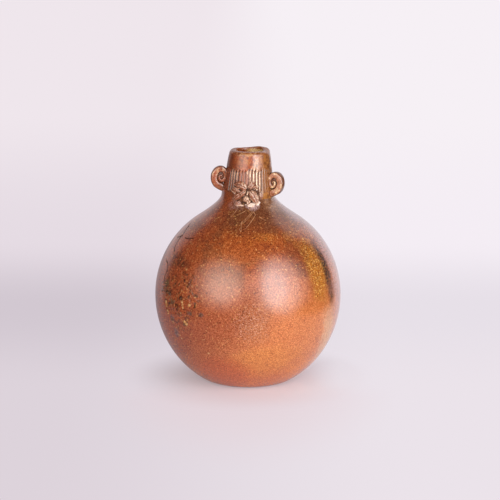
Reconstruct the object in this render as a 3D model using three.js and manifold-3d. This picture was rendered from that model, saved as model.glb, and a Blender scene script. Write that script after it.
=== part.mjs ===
// A globular stoneware flower bottle with a fluted neck, two rolled scroll lugs and an applied spray of leaves.
// Millimetres, +Z up. The bottle stands on Z = 0 with its axis on Z, and -Y is the front, where the spray sits.
// Azimuths are degrees from the front, turning towards +X. Every piece is a separate lump of clay, luted with slip.
import * as THREE from "three";
import { mergeVertices } from "three/addons/utils/BufferGeometryUtils.js";
import Module from "manifold-3d";

// Globe: two thrown bowls joined rim to rim at the belly
const bellyRadius = 93;
const bellyHeight = 86;
const baseRadius = 43.5;
const baseEdge = 3; // rounded edge of the flat base
const floorThickness = 9;
const globeWall = 6;
const crownReach = 94; // from the belly up to where the upper curve would close on the axis
const shoulderAngle = 57.2; // degrees round the upper curve, where the shoulder turns up to the neck

// Neck: a thick thrown tube on the shoulder's collar
const collarRise = 22; // from the end of the shoulder curve to the foot of the neck
const neckFootRadius = 26.3;
const neckTopRadius = 20.5;
const neckHeight = 45;
const neckWall = 7;
const lipDrop = 3; // how far the rounded lip falls from the mouth to its outer edge
const lipFlat = 1.5; // level ring left round the mouth
const neckLean = 0.045; // sideways shift towards +X for each millimetre above the foot
const mouthLift = 1.6; // the lip is pulled up on one side
const mouthLiftAzimuth = 130;

// Flutes: gouged down the neck with a round-nosed tool
const fluteCount = 44;
const fluteDepth = 0.8;
const gougeRadius = 1.5;
const fluteTopDrop = 17; // from the mouth down to the upper ends
const fluteFootRise = 3; // from the foot of the neck up to the lower ends

// Luted seams: a V ridge on one rim set in a V groove in the other, with a film of slip between
const slipGap = 0.3;
const seamLand = 1.2;
const seamDepth = 2.2;

// Scroll lugs: tapered straps of clay rolled up and stuck to the sides of the neck
const strapWidth = 8;
const strapFootThickness = 7;
const strapTipThickness = 1.6;
const scrollRadius = 9.3; // from the eye down to the middle of the strap
const scrollSqueeze = 0.77; // a scroll is narrower than it is tall
const scrollStart = 15; // degrees round from straight below the eye, where the strap begins to curl
const scrollEnd = 400;
const scrollClosing = 440; // degrees at which the roll would close on its eye
const footTuck = 7; // straight length of the strap's foot, which is fitted to the neck
const eyeOffset = 3.8; // from the neck's surface out to the eye
const lugs = [
  { name: "left_scroll_lug", azimuth: -86, rise: 18.5 },
  { name: "right_scroll_lug", azimuth: 65, rise: 14 },
];

// Spray: modelled leaves, a bud and twigs. Rise is measured along the surface from the neck's foot, and
// heading turns from straight up towards +X.
const leafEdge = 0.7; // thickness of a leaf at its rim
const leafTip = 0.6; // width of a leaf at its two ends
const veinDepth = 0.5;
const leaves = [
  { name: "leaf_upper_left", azimuth: -3.5, rise: 9.2, heading: -70, length: 15.5, width: 6.6, thickness: 2.4 },
  { name: "leaf_upper_right", azimuth: 1, rise: 10, heading: 22, length: 8.4, width: 5.6, thickness: 2.2 },
  { name: "leaf_long_right", azimuth: 3.6, rise: 8.2, heading: 152, length: 15.6, width: 6.8, thickness: 2.8 },
  { name: "leaf_small_right", azimuth: 28, rise: 7, heading: 180, length: 8, width: 4.2, thickness: 1.6 },
  { name: "leaf_left", azimuth: -11.5, rise: 5.2, heading: -126, length: 11.2, width: 5.6, thickness: 2.4 },
  { name: "leaf_lower_left", azimuth: -14.5, rise: -2.6, heading: -126, length: 8.2, width: 4, thickness: 1.8 },
];
const bud = { name: "bud", azimuth: -4.2, rise: 2.9, heading: 180, length: 6.4, width: 6.4, thickness: 3 };
const twigRadius = 0.8;
const twigs = [
  { name: "twig_left", azimuths: [-44, -35, -26, -17], rises: [7.4, 7.2, 6.6, 7.2] },
  { name: "twig_centre", azimuths: [-0.6, -1.4, -2.4], rises: [7.6, 5.8, 3.8] },
];

// Fineness of the facets
const globeSegments = 48;
const neckSegments = fluteCount;
const globeSteps = 10;
const insideSteps = 6;
const collarSteps = 7;
const lipSteps = 4;
const scrollStep = 15; // degrees
const leafRows = 9;
const leafColumns = 6;
const gougeSides = 6;
const gougeNoseSteps = 2;
const twigSides = 8;
const twigSteps = 8;
const weldDistance = 1e-4;

const radians = THREE.MathUtils.degToRad;
const wasm = await Module();
wasm.setup();

// Outline of the outside, as radius and height

const baseAngle = Math.acos(baseRadius / bellyRadius);
const lowerReach = bellyHeight / Math.sin(baseAngle);
const shoulderTurn = radians(shoulderAngle);
const shoulderCurve = globeCurve(crownReach, 0, shoulderTurn);
const shoulderEnd = shoulderCurve.getPoint(1);
const neckFoot = new THREE.Vector2(neckFootRadius, shoulderEnd.y + collarRise);
const mouthHeight = neckFoot.y + neckHeight;
const neckTop = new THREE.Vector2(neckTopRadius, mouthHeight - lipDrop);
const mouthRadius = neckTopRadius - neckWall;
const boreFootRadius = neckFootRadius - neckWall;
const neckLine = new THREE.LineCurve(neckFoot, neckTop);
const neckSlope = Math.atan2(neckTop.x - neckFoot.x, neckTop.y - neckFoot.y);
const collarCurve = new THREE.QuadraticBezierCurve(
  shoulderEnd,
  crossing(shoulderEnd, shoulderCurve.getTangent(1), neckFoot, neckLine.getTangent(0)),
  neckFoot,
);

// The outside that the lugs and the spray sit on, measured along its length.
const outside = new THREE.CurvePath();
[shoulderCurve, collarCurve, neckLine].forEach((curve) => outside.add(curve));
const outsideLengths = outside.getCurveLengths();
const footDistance = outsideLengths[1];
const outsideLength = outsideLengths[2];

// Part of the globe's section: an ellipse about the belly, brought in by `inset` for the inside of the wall.
function globeCurve(reach, start, end, inset = 0) {
  return new THREE.EllipseCurve(0, bellyHeight, bellyRadius - inset, reach - inset, start, end);
}

// Where two lines in the section meet, each given by a point and a direction.
function crossing(a, alongA, b, alongB) {
  const between = b.clone().sub(a);
  return a.clone().addScaledVector(alongA, between.cross(alongB) / alongA.cross(alongB));
}

// The V of a luted seam from its outer to its inner edge. The ridge is the groove lifted by the slip.
function seam(outerRadius, innerRadius, height) {
  return [
    new THREE.Vector2(outerRadius, height),
    new THREE.Vector2(outerRadius - seamLand, height),
    new THREE.Vector2((outerRadius + innerRadius) / 2, height - seamDepth),
    new THREE.Vector2(innerRadius + seamLand, height),
    new THREE.Vector2(innerRadius, height),
  ];
}

// Geometry and solids

// A section turned about the Z axis.
function turned(section, segments) {
  return new THREE.LatheGeometry(section, segments).rotateX(Math.PI / 2);
}

function solidOf(geometry) {
  const bare = geometry.clone();
  bare.deleteAttribute("normal");
  bare.deleteAttribute("uv");
  const welded = mergeVertices(bare, weldDistance);
  const vertProperties = new Float32Array(welded.attributes.position.array);
  const triVerts = new Uint32Array(welded.index.array);
  return new wasm.Manifold(new wasm.Mesh({ numProp: 3, vertProperties, triVerts }));
}

function geometryOf(solid) {
  const { vertProperties, triVerts } = solid.getMesh();
  const geometry = new THREE.BufferGeometry();
  geometry.setAttribute("position", new THREE.BufferAttribute(new Float32Array(vertProperties), 3));
  geometry.setIndex(new THREE.BufferAttribute(new Uint32Array(triVerts), 1));
  geometry.computeVertexNormals();
  return geometry;
}

// Moves every vertex of a geometry by a function that changes the point it is given.
function reshape(geometry, change) {
  const positions = geometry.getAttribute("position");
  const point = new THREE.Vector3();
  for (let i = 0; i < positions.count; i++) {
    change(point.fromBufferAttribute(positions, i));
    positions.setXYZ(i, point.x, point.y, point.z);
  }
  return geometry;
}

// What stands on the collar leans with the neck.
function leant(geometry) {
  return reshape(geometry, (point) => {
    point.x += neckLean * Math.max(0, point.z - neckFoot.y);
  });
}

// A point over the upright outside, `lift` above its surface.
function overSurface(azimuth, rise, lift) {
  const share = (footDistance + rise) / outsideLength;
  const spot = outside.getPointAt(share);
  const along = outside.getTangentAt(share);
  const radius = spot.x + along.y * lift;
  return new THREE.Vector3(
    radius * Math.sin(azimuth),
    -radius * Math.cos(azimuth),
    spot.y - along.x * lift,
  );
}

// Globe

function lowerBowl() {
  const edgeAngle = Math.asin((bellyHeight - baseEdge) / lowerReach);
  const outer = globeCurve(lowerReach, -edgeAngle, 0);
  const edge = new THREE.QuadraticBezierCurve(
    new THREE.Vector2(baseRadius - baseEdge, 0),
    new THREE.Vector2(baseRadius, 0),
    outer.getPoint(0),
  );
  const floorAngle = Math.asin((bellyHeight - floorThickness) / (lowerReach - globeWall));
  const inner = globeCurve(lowerReach, -floorAngle, 0, globeWall);
  return turned(
    [
      new THREE.Vector2(0, 0),
      ...edge.getPoints(lipSteps),
      ...outer.getPoints(globeSteps).slice(1, -1),
      ...seam(bellyRadius, bellyRadius - globeWall, bellyHeight),
      ...inner.getPoints(insideSteps).slice(0, -1).toReversed(),
      new THREE.Vector2(0, floorThickness),
    ],
    globeSegments,
  );
}

function shoulderDome() {
  const inner = globeCurve(crownReach, 0, shoulderTurn, globeWall);
  const innerEnd = inner.getPoint(1);
  const boreFoot = new THREE.Vector2(boreFootRadius, neckFoot.y);
  const innerCollar = new THREE.QuadraticBezierCurve(
    innerEnd,
    crossing(innerEnd, inner.getTangent(1), boreFoot, new THREE.Vector2(0, 1)),
    boreFoot,
  );
  const ridge = seam(bellyRadius, bellyRadius - globeWall, bellyHeight + slipGap);
  const risen = (point) => point.y > bellyHeight + slipGap;
  return turned(
    [
      ...ridge.toReversed(),
      ...shoulderCurve.getPoints(globeSteps).filter(risen),
      ...collarCurve.getPoints(collarSteps).slice(1, -1),
      ...seam(neckFootRadius, boreFootRadius, neckFoot.y),
      ...innerCollar.getPoints(lipSteps).toReversed().slice(1, -1),
      ...inner.getPoints(insideSteps).filter(risen).toReversed(),
      ridge.at(-1),
    ],
    globeSegments,
  );
}

// Neck

function gouge(index) {
  const low = neckFoot.y + fluteFootRise;
  const high = mouthHeight - fluteTopDrop;
  const length = (high - low) / Math.cos(neckSlope) - 2 * gougeRadius;
  const middle = (low + high) / 2;
  const radius = neckFootRadius + (middle - neckFoot.y) * Math.tan(neckSlope);
  return new THREE.CapsuleGeometry(gougeRadius, length, gougeNoseSteps, gougeSides)
    .rotateX(Math.PI / 2)
    .translate(gougeRadius - fluteDepth, 0, 0)
    .rotateY(neckSlope)
    .translate(radius, 0, middle)
    .rotateZ((index * 2 * Math.PI) / fluteCount);
}

// The lip rises to one side, more and more towards the mouth.
function liftMouth(point) {
  const start = mouthHeight - fluteTopDrop;
  const share = Math.max(0, point.z - start) / fluteTopDrop;
  const away = Math.atan2(point.x, -point.y) - radians(mouthLiftAzimuth);
  point.z += mouthLift * share ** 2 * Math.max(0, Math.cos(away)) ** 4;
}

function neckTube() {
  const lip = new THREE.QuadraticBezierCurve(
    neckTop,
    new THREE.Vector2(neckTopRadius, mouthHeight),
    new THREE.Vector2(mouthRadius + lipFlat, mouthHeight),
  );
  const ridge = seam(neckFootRadius, boreFootRadius, neckFoot.y + slipGap);
  const plain = turned(
    [
      ...ridge.toReversed(),
      ...lip.getPoints(lipSteps),
      new THREE.Vector2(mouthRadius, mouthHeight),
      new THREE.Vector2(mouthRadius, neckTop.y),
      ridge.at(-1),
    ],
    neckSegments,
  );
  let neck = solidOf(reshape(plain, liftMouth));
  for (let i = 0; i < fluteCount; i++) neck = neck.subtract(solidOf(gouge(i)));
  return leant(geometryOf(neck));
}

// Scroll lugs

// Everything inside the outer surface and its film of slip, which is what a lug is fitted against.
const seat = solidOf(
  turned(
    [
      new THREE.Vector2(0, bellyHeight),
      ...[...shoulderCurve.getPoints(globeSteps), ...collarCurve.getPoints(collarSteps), neckTop].map(
        (point) => new THREE.Vector2(point.x + slipGap, point.y + slipGap),
      ),
      new THREE.Vector2(0, neckTop.y + slipGap),
    ],
    neckSegments,
  ),
);

// The middle of the rolled strap about its eye, as distances outwards and up, `sweep` degrees round from below.
function scrollMiddle(sweep) {
  const reach = scrollRadius * (1 - (sweep / scrollClosing) ** 2);
  const turn = radians(sweep - 90);
  return new THREE.Vector2(scrollSqueeze * reach * Math.cos(turn), reach * Math.sin(turn));
}

function scrollLug({ azimuth, rise }) {
  const steps = Math.ceil((scrollEnd - scrollStart) / scrollStep);
  const sweeps = Array.from({ length: steps + 1 }, (_, i) => scrollStart + ((scrollEnd - scrollStart) * i) / steps);
  const middle = new THREE.SplineCurve(sweeps.map(scrollMiddle));
  const outerFace = [];
  const innerFace = [];
  const addStation = (spot, along, thickness) => {
    const out = new THREE.Vector2(along.y, -along.x);
    outerFace.push(spot.clone().addScaledVector(out, thickness / 2));
    innerFace.unshift(spot.clone().addScaledVector(out, -thickness / 2));
  };
  const start = middle.getPoint(0);
  const startAlong = middle.getTangent(0);
  addStation(start.clone().addScaledVector(startAlong, -footTuck), startAlong, strapFootThickness);
  sweeps.forEach((sweep, i) => {
    const rolled = (sweep - scrollStart) / (scrollEnd - scrollStart);
    const thickness = THREE.MathUtils.lerp(strapFootThickness, strapTipThickness, rolled ** 2);
    addStation(middle.getPoint(i / steps), middle.getTangent(i / steps), thickness);
  });
  const outline = new THREE.Shape([...outerFace, ...innerFace]);
  const eyeRadius = neckFootRadius + rise * Math.tan(neckSlope) + eyeOffset;
  const strap = new THREE.ExtrudeGeometry(outline, { depth: strapWidth, bevelEnabled: false })
    .rotateX(Math.PI / 2)
    .translate(eyeRadius, strapWidth / 2, neckFoot.y + rise)
    .rotateZ(radians(azimuth - 90));
  return leant(geometryOf(solidOf(strap).subtract(seat)));
}

// Spray

// A leaf or bud pressed on to the surface: a domed pad over a grid of `leafRows` by `leafColumns` cells.
function pad({ azimuth, rise, heading, length, width, thickness }, fullness, skew, vein) {
  const turn = radians(heading);
  const columns = leafColumns + 1;
  const topStart = (leafRows + 1) * columns;
  const top = [];
  const under = [];
  for (let row = 0; row <= leafRows; row++) {
    const share = row / leafRows;
    const swell = (4 * share ** skew * (1 - share ** skew)) ** fullness;
    const halfWidth = leafTip / 2 + ((width - leafTip) / 2) * swell;
    for (let column = 0; column < columns; column++) {
      const across = (2 * column) / leafColumns - 1;
      const side = across * halfWidth;
      const spotRise = rise + share * length * Math.cos(turn) - side * Math.sin(turn);
      const sideways = share * length * Math.sin(turn) + side * Math.cos(turn);
      const radius = outside.getPointAt((footDistance + spotRise) / outsideLength).x;
      const spotAzimuth = radians(azimuth) + sideways / radius;
      const crease = vein * swell * Math.max(0, 1 - Math.abs(across) * leafColumns / 2);
      const height = leafEdge + (thickness - leafEdge) * swell * (1 - across ** 2) - crease;
      under.push(overSurface(spotAzimuth, spotRise, slipGap));
      top.push(overSurface(spotAzimuth, spotRise, slipGap + height));
    }
  }
  const faces = [];
  const quad = (a, b, c, d) => faces.push(a, b, c, a, c, d);
  for (let row = 0; row < leafRows; row++) {
    for (let column = 0; column < leafColumns; column++) {
      const corner = row * columns + column;
      quad(corner, corner + columns, corner + columns + 1, corner + 1);
      quad(topStart + corner, topStart + corner + 1, topStart + corner + columns + 1, topStart + corner + columns);
    }
  }
  const rim = rimOf(leafRows, leafColumns);
  rim.forEach((spot, i) => {
    const next = rim[(i + 1) % rim.length];
    quad(spot, next, topStart + next, topStart + spot);
  });
  const geometry = new THREE.BufferGeometry().setFromPoints([...under, ...top]).setIndex(faces);
  geometry.computeVertexNormals();
  return leant(geometry);
}

// The places of a grid's outer points, in order round its edge.
function rimOf(rows, columns) {
  const at = (row, column) => row * (columns + 1) + column;
  const rim = [];
  for (let column = 0; column < columns; column++) rim.push(at(0, column));
  for (let row = 0; row < rows; row++) rim.push(at(row, columns));
  for (let column = columns; column > 0; column--) rim.push(at(rows, column));
  for (let row = rows; row > 0; row--) rim.push(at(row, 0));
  return rim;
}

function twig({ azimuths, rises }) {
  const route = azimuths.map((azimuth, i) => overSurface(radians(azimuth), rises[i], slipGap + twigRadius));
  const section = new THREE.Shape();
  section.absarc(0, 0, twigRadius, 0, 2 * Math.PI);
  const rod = new THREE.ExtrudeGeometry(new THREE.Shape(section.getPoints(twigSides / 2)), {
    steps: twigSteps,
    bevelEnabled: false,
    extrudePath: new THREE.CatmullRomCurve3(route),
  });
  return leant(rod);
}

// Assembly

const firedClay = new THREE.MeshStandardMaterial({ color: 0xa4552f, roughness: 0.5, metalness: 0 });
const darkShoulder = new THREE.MeshStandardMaterial({ color: 0x7d4224, roughness: 0.45, metalness: 0 });
const ashGloss = new THREE.MeshStandardMaterial({ color: 0x9a5a34, roughness: 0.35, metalness: 0 });
const palerClay = new THREE.MeshStandardMaterial({ color: 0xa8735a, roughness: 0.4, metalness: 0 });

function piece(name, geometry, material) {
  const mesh = new THREE.Mesh(geometry, material);
  mesh.name = name;
  return mesh;
}

const globe = new THREE.Group();
globe.add(piece("lower_bowl", lowerBowl(), firedClay));
globe.add(piece("shoulder_dome", shoulderDome(), darkShoulder));

const neckGroup = new THREE.Group();
neckGroup.add(piece("neck_tube", neckTube(), ashGloss));
lugs.forEach((lug) => neckGroup.add(piece(lug.name, scrollLug(lug), ashGloss)));

const spray = new THREE.Group();
leaves.forEach((leaf) => spray.add(piece(leaf.name, pad(leaf, 0.8, 0.85, veinDepth), palerClay)));
spray.add(piece(bud.name, pad(bud, 0.5, 1, 0), palerClay));
twigs.forEach((stem) => spray.add(piece(stem.name, twig(stem), palerClay)));

const bottle = new THREE.Group();
bottle.add(globe, neckGroup, spray);

export default bottle;
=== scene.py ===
import bisect
import math
import random

import bpy
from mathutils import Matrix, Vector


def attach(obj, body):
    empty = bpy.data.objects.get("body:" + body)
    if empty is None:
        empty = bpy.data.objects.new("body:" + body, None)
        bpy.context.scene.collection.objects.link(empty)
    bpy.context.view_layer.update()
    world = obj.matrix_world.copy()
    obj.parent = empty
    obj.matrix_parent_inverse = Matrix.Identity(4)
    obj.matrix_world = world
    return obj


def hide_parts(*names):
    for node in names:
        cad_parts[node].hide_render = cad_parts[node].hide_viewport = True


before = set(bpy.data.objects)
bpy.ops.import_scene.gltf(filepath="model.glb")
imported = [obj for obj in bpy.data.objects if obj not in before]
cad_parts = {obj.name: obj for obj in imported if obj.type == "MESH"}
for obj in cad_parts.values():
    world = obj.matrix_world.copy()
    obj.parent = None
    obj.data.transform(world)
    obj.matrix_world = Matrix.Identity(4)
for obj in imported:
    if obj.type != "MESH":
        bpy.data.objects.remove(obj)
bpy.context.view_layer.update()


# THE GLOBE
# Two thrown bowls of iron-bearing stoneware, luted rim to rim and pared until the seam is gone. The wall
# runs in one line from the flat base over the belly to a collar, whose thin upper edge is smeared up round
# the neck.

MM = 0.001
BELLY_RADIUS = 93 * MM
BELLY_HEIGHT = 86 * MM
BASE_RADIUS = 43.5 * MM
BASE_EDGE = 3 * MM
LOWER_REACH = BELLY_HEIGHT / math.sqrt(1 - (BASE_RADIUS / BELLY_RADIUS) ** 2)
CROWN_REACH = 94 * MM
GLOBE_WALL = 6 * MM
FLOOR_THICKNESS = 9 * MM
SHOULDER_TURN = math.radians(57.2)
COLLAR_RISE = 22 * MM
NECK_FOOT_RADIUS = 26.3 * MM
NECK_TOP_RADIUS = 20.5 * MM
NECK_TAPER = 42 * MM  # height in which the neck narrows from one to the other
NECK_SLOPE = (NECK_TOP_RADIUS - NECK_FOOT_RADIUS) / NECK_TAPER
NECK_LEAN = 0.045  # to the right, for each unit of height


def wall_point(angle, inset=0):
    """Radius and height of the wall at an angle above the belly, on its outside or inset from it."""
    reach = LOWER_REACH if angle < 0 else CROWN_REACH
    return (BELLY_RADIUS - inset) * math.cos(angle), BELLY_HEIGHT + (reach - inset) * math.sin(angle)


SHOULDER_END = wall_point(SHOULDER_TURN)
NECK_FOOT = SHOULDER_END[1] + COLLAR_RISE


def collar_corner():
    """Where the line of the shoulder and the line of the neck would cross, as radius and height."""
    run_r = -BELLY_RADIUS * math.sin(SHOULDER_TURN)
    run_z = CROWN_REACH * math.cos(SHOULDER_TURN)
    gap_r = NECK_FOOT_RADIUS - SHOULDER_END[0]
    gap_z = NECK_FOOT - SHOULDER_END[1]
    share = (gap_r - gap_z * NECK_SLOPE) / (run_r - run_z * NECK_SLOPE)
    return SHOULDER_END[0] + share * run_r, SHOULDER_END[1] + share * run_z


def collar_point(t):
    """Radius and height on the hollow curve of the collar, for t from 0 at its foot to 1 at the neck."""
    (r0, z0), (r1, z1), (r2, z2) = SHOULDER_END, collar_corner(), (NECK_FOOT_RADIUS, NECK_FOOT)
    a, b, c = (1 - t) ** 2, 2 * t * (1 - t), t * t
    return a * r0 + b * r1 + c * r2, a * z0 + b * z1 + c * z2


HALVINGS = 40  # steps in which a height on the collar is found


def outer_radius(height):
    """Radius of the bottle's outside at a height."""
    if height <= BELLY_HEIGHT:
        return BELLY_RADIUS * math.sqrt(max(0, 1 - ((height - BELLY_HEIGHT) / LOWER_REACH) ** 2))
    if height <= SHOULDER_END[1]:
        return BELLY_RADIUS * math.sqrt(1 - ((height - BELLY_HEIGHT) / CROWN_REACH) ** 2)
    if height >= NECK_FOOT:
        return NECK_FOOT_RADIUS + (height - NECK_FOOT) * NECK_SLOPE
    low, high = 0.0, 1.0
    for _ in range(HALVINGS):
        middle = (low + high) / 2
        if collar_point(middle)[1] < height:
            low = middle
        else:
            high = middle
    return collar_point(low)[0]


def start_mesh(name):
    """A new mesh object, the only one selected, left in edit mode on a single vertex at the origin."""
    bpy.ops.object.select_all(action="DESELECT")
    bpy.ops.mesh.primitive_plane_add(size=MM)
    piece = bpy.context.object
    piece.name = name
    bpy.ops.object.mode_set(mode="EDIT")
    bpy.ops.mesh.select_mode(type="VERT")
    bpy.ops.mesh.merge(type="CENTER")
    return piece


def apply_modifier(piece, kind, **settings):
    modifier = piece.modifiers.new(kind.lower(), kind)
    for setting, value in settings.items():
        setattr(modifier, setting, value)
    bpy.context.view_layer.objects.active = piece
    bpy.ops.object.modifier_apply(modifier=modifier.name)


def pick(piece):
    """Makes a piece the only selected one and the active one."""
    bpy.ops.object.select_all(action="DESELECT")
    piece.select_set(True)
    bpy.context.view_layer.objects.active = piece


def choose(piece, kind, test):
    """Selects the vertices or faces whose place passes a test, and leaves the piece in edit mode."""
    pick(piece)
    bpy.ops.object.mode_set(mode="EDIT")
    bpy.ops.mesh.select_mode(type=kind)
    bpy.ops.mesh.select_all(action="DESELECT")
    bpy.ops.object.mode_set(mode="OBJECT")
    if kind == "FACE":
        for face in piece.data.polygons:
            face.select = test(face.center)
    else:
        for vertex in piece.data.vertices:
            vertex.select = test(vertex.co)
    bpy.ops.object.mode_set(mode="EDIT")


def close_up(gap):
    """Merges the points of the active mesh that are nearer than the gap, and turns its faces outwards."""
    bpy.ops.object.mode_set(mode="EDIT")
    bpy.ops.mesh.select_all(action="SELECT")
    bpy.ops.mesh.remove_doubles(threshold=gap)
    bpy.ops.mesh.normals_make_consistent(inside=False)
    bpy.ops.object.mode_set(mode="OBJECT")


def turn_section(name, section, steps):
    """Draws a section of (radius, height) points vertex by vertex and turns it about the bottle's axis."""
    piece = start_mesh(name)
    bpy.ops.transform.translate(value=(section[0][0], 0, section[0][1]))
    for (r0, z0), (r1, z1) in zip(section, section[1:]):
        bpy.ops.mesh.extrude_region_move(TRANSFORM_OT_translate={"value": (r1 - r0, 0, z1 - z0)})
    bpy.ops.object.mode_set(mode="OBJECT")
    apply_modifier(
        piece, "SCREW", axis="Z", angle=2 * math.pi, steps=steps, render_steps=steps, use_merge_vertices=True
    )
    close_up(0.01 * MM)
    return piece


def weigh(piece, group, weight):
    """A vertex group weighted by a function of each vertex's place, and an attribute for the material."""
    weights = piece.vertex_groups.new(name=group)
    shares = [min(1, max(0, weight(vertex.co))) for vertex in piece.data.vertices]
    for index, share in enumerate(shares):
        if share > 0:
            weights.add([index], share, "REPLACE")
    piece.data.attributes.new(group + "_share", "FLOAT", "POINT").data.foreach_set("value", shares)


def roughen(piece, name, kind, grain, height, group="", **settings):
    """Pushes the surface in and out along its normals by a cloud pattern of that grain."""
    pattern = bpy.data.textures.new(name, kind)
    pattern.noise_scale = grain
    for setting, value in settings.items():
        setattr(pattern, setting, value)
    apply_modifier(piece, "DISPLACE", texture=pattern, strength=height, mid_level=0.5, vertex_group=group)


def azimuth_of(place):
    """Degrees from the front, turning to the viewer's right."""
    return math.degrees(math.atan2(place.x, -place.y))


def soft_step(low, high, value):
    share = min(1, max(0, (value - low) / (high - low)))
    return share * share * (3 - 2 * share)


LEDGE_RISE = 3.5 * MM
LEDGE_HEIGHT = NECK_FOOT + LEDGE_RISE  # upper edge of the collar where it is smeared round the neck
LEDGE_TILT = math.radians(9)  # the edge rises to the left
LEDGE_PROUD = 0.45 * MM
GLOBE_STEPS = 320
EDGE_ROWS, WALL_ROWS, COLLAR_ROWS, INNER_ROWS = 5, 120, 20, 24
INNER_END = -1.0  # angle below the belly at which the inside turns to the floor
THROAT = ((19.3, 0), (20.5, 8), (26, 16))  # radius of the hole in the collar, and depth below the neck's foot

section = [(0, 0), (15 * MM, 0), (30 * MM, 0), (BASE_RADIUS - BASE_EDGE, 0)]
for i in range(1, EDGE_ROWS + 1):
    t = i / EDGE_ROWS
    a, b, c = (1 - t) ** 2, 2 * t * (1 - t), t * t
    r = a * (BASE_RADIUS - BASE_EDGE) + b * BASE_RADIUS + c * outer_radius(BASE_EDGE)
    section.append((r, c * BASE_EDGE))
start_angle = -math.asin((BELLY_HEIGHT - BASE_EDGE) / LOWER_REACH)
for i in range(1, WALL_ROWS + 1):
    section.append(wall_point(start_angle + (SHOULDER_TURN - start_angle) * i / WALL_ROWS))
section += [collar_point(i / COLLAR_ROWS) for i in range(1, COLLAR_ROWS)]
for rise in (0, 1 * MM, 2 * MM, 2.8 * MM):
    section.append((outer_radius(NECK_FOOT + rise) + rise / LEDGE_RISE * LEDGE_PROUD, NECK_FOOT + rise))
section.append((outer_radius(LEDGE_HEIGHT) + 0.7 * LEDGE_PROUD, LEDGE_HEIGHT - 0.1 * MM))
section.append((outer_radius(LEDGE_HEIGHT) - 0.4 * MM, LEDGE_HEIGHT))
section.append((outer_radius(NECK_FOOT) - 0.6 * MM, NECK_FOOT))
section += [(radius * MM, NECK_FOOT - depth * MM) for radius, depth in THROAT]
for i in range(INNER_ROWS + 1):
    section.append(wall_point(SHOULDER_TURN + (INNER_END - SHOULDER_TURN) * i / INNER_ROWS, GLOBE_WALL))
section += [(20 * MM, FLOOR_THICKNESS), (0, FLOOR_THICKNESS)]
globe = turn_section("globe", section, GLOBE_STEPS)

# The collar's edge is smeared higher on the left, and on the right it melts into the neck.
LEDGE_START = NECK_FOOT - 9 * MM
MELT_DEPTH = 0.9 * MM


def ledge_height(azimuth):
    return LEDGE_HEIGHT - math.tan(LEDGE_TILT) * NECK_FOOT_RADIUS * math.sin(math.radians(azimuth))


for vertex in globe.data.vertices:
    if vertex.co.z < LEDGE_START:
        continue
    proud = math.hypot(vertex.co.x, vertex.co.y) - outer_radius(vertex.co.z)
    if proud > -1.2 * MM:
        azimuth = azimuth_of(vertex.co)
        turn = math.radians(azimuth)
        share = (vertex.co.z - LEDGE_START) / (LEDGE_HEIGHT - LEDGE_START)
        if proud > 0:
            proud *= 0.6 - 0.4 * math.sin(turn)
        melted = soft_step(4, 34, azimuth) * soft_step(160, 120, azimuth)
        proud -= MELT_DEPTH * melted * soft_step(NECK_FOOT - 2 * MM, LEDGE_HEIGHT, vertex.co.z)
        height = LEDGE_START + share * (ledge_height(azimuth) - LEDGE_START)
        radius = outer_radius(height) + proud
        vertex.co = (radius * math.sin(turn), -radius * math.cos(turn), height)

# Fly ash has built up a rough crust on the left, so the wall is divided finely there and roughened.
CRUST_AZIMUTH = -46
CRUST_HEIGHT = 95 * MM
CRUST_HALF_WIDTH = 21  # degrees
CRUST_HALF_HEIGHT = 42 * MM


def crust_share(place):
    """1 in the middle of the crust, falling to 0 at its edge and inside the wall."""
    if place.x > 0 or place.y > 0 or math.hypot(place.x, place.y) < outer_radius(place.z) - 1 * MM:
        return 0
    across = (azimuth_of(place) - CRUST_AZIMUTH) / CRUST_HALF_WIDTH
    upward = (place.z - CRUST_HEIGHT) / CRUST_HALF_HEIGHT
    return soft_step(1.0, 0.35, math.hypot(across, upward))


choose(globe, "FACE", lambda place: crust_share(place) > 0)
bpy.ops.mesh.subdivide(number_cuts=3)
bpy.ops.object.mode_set(mode="OBJECT")
weigh(globe, "crust", crust_share)
roughen(globe, "crust_lumps", "CLOUDS", 4.0 * MM, 0.7 * MM, "crust", noise_depth=2)
roughen(globe, "crust_pits", "CLOUDS", 1.6 * MM, 0.45 * MM, "crust", noise_depth=1)
pick(globe)
bpy.ops.object.shade_smooth()


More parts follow.
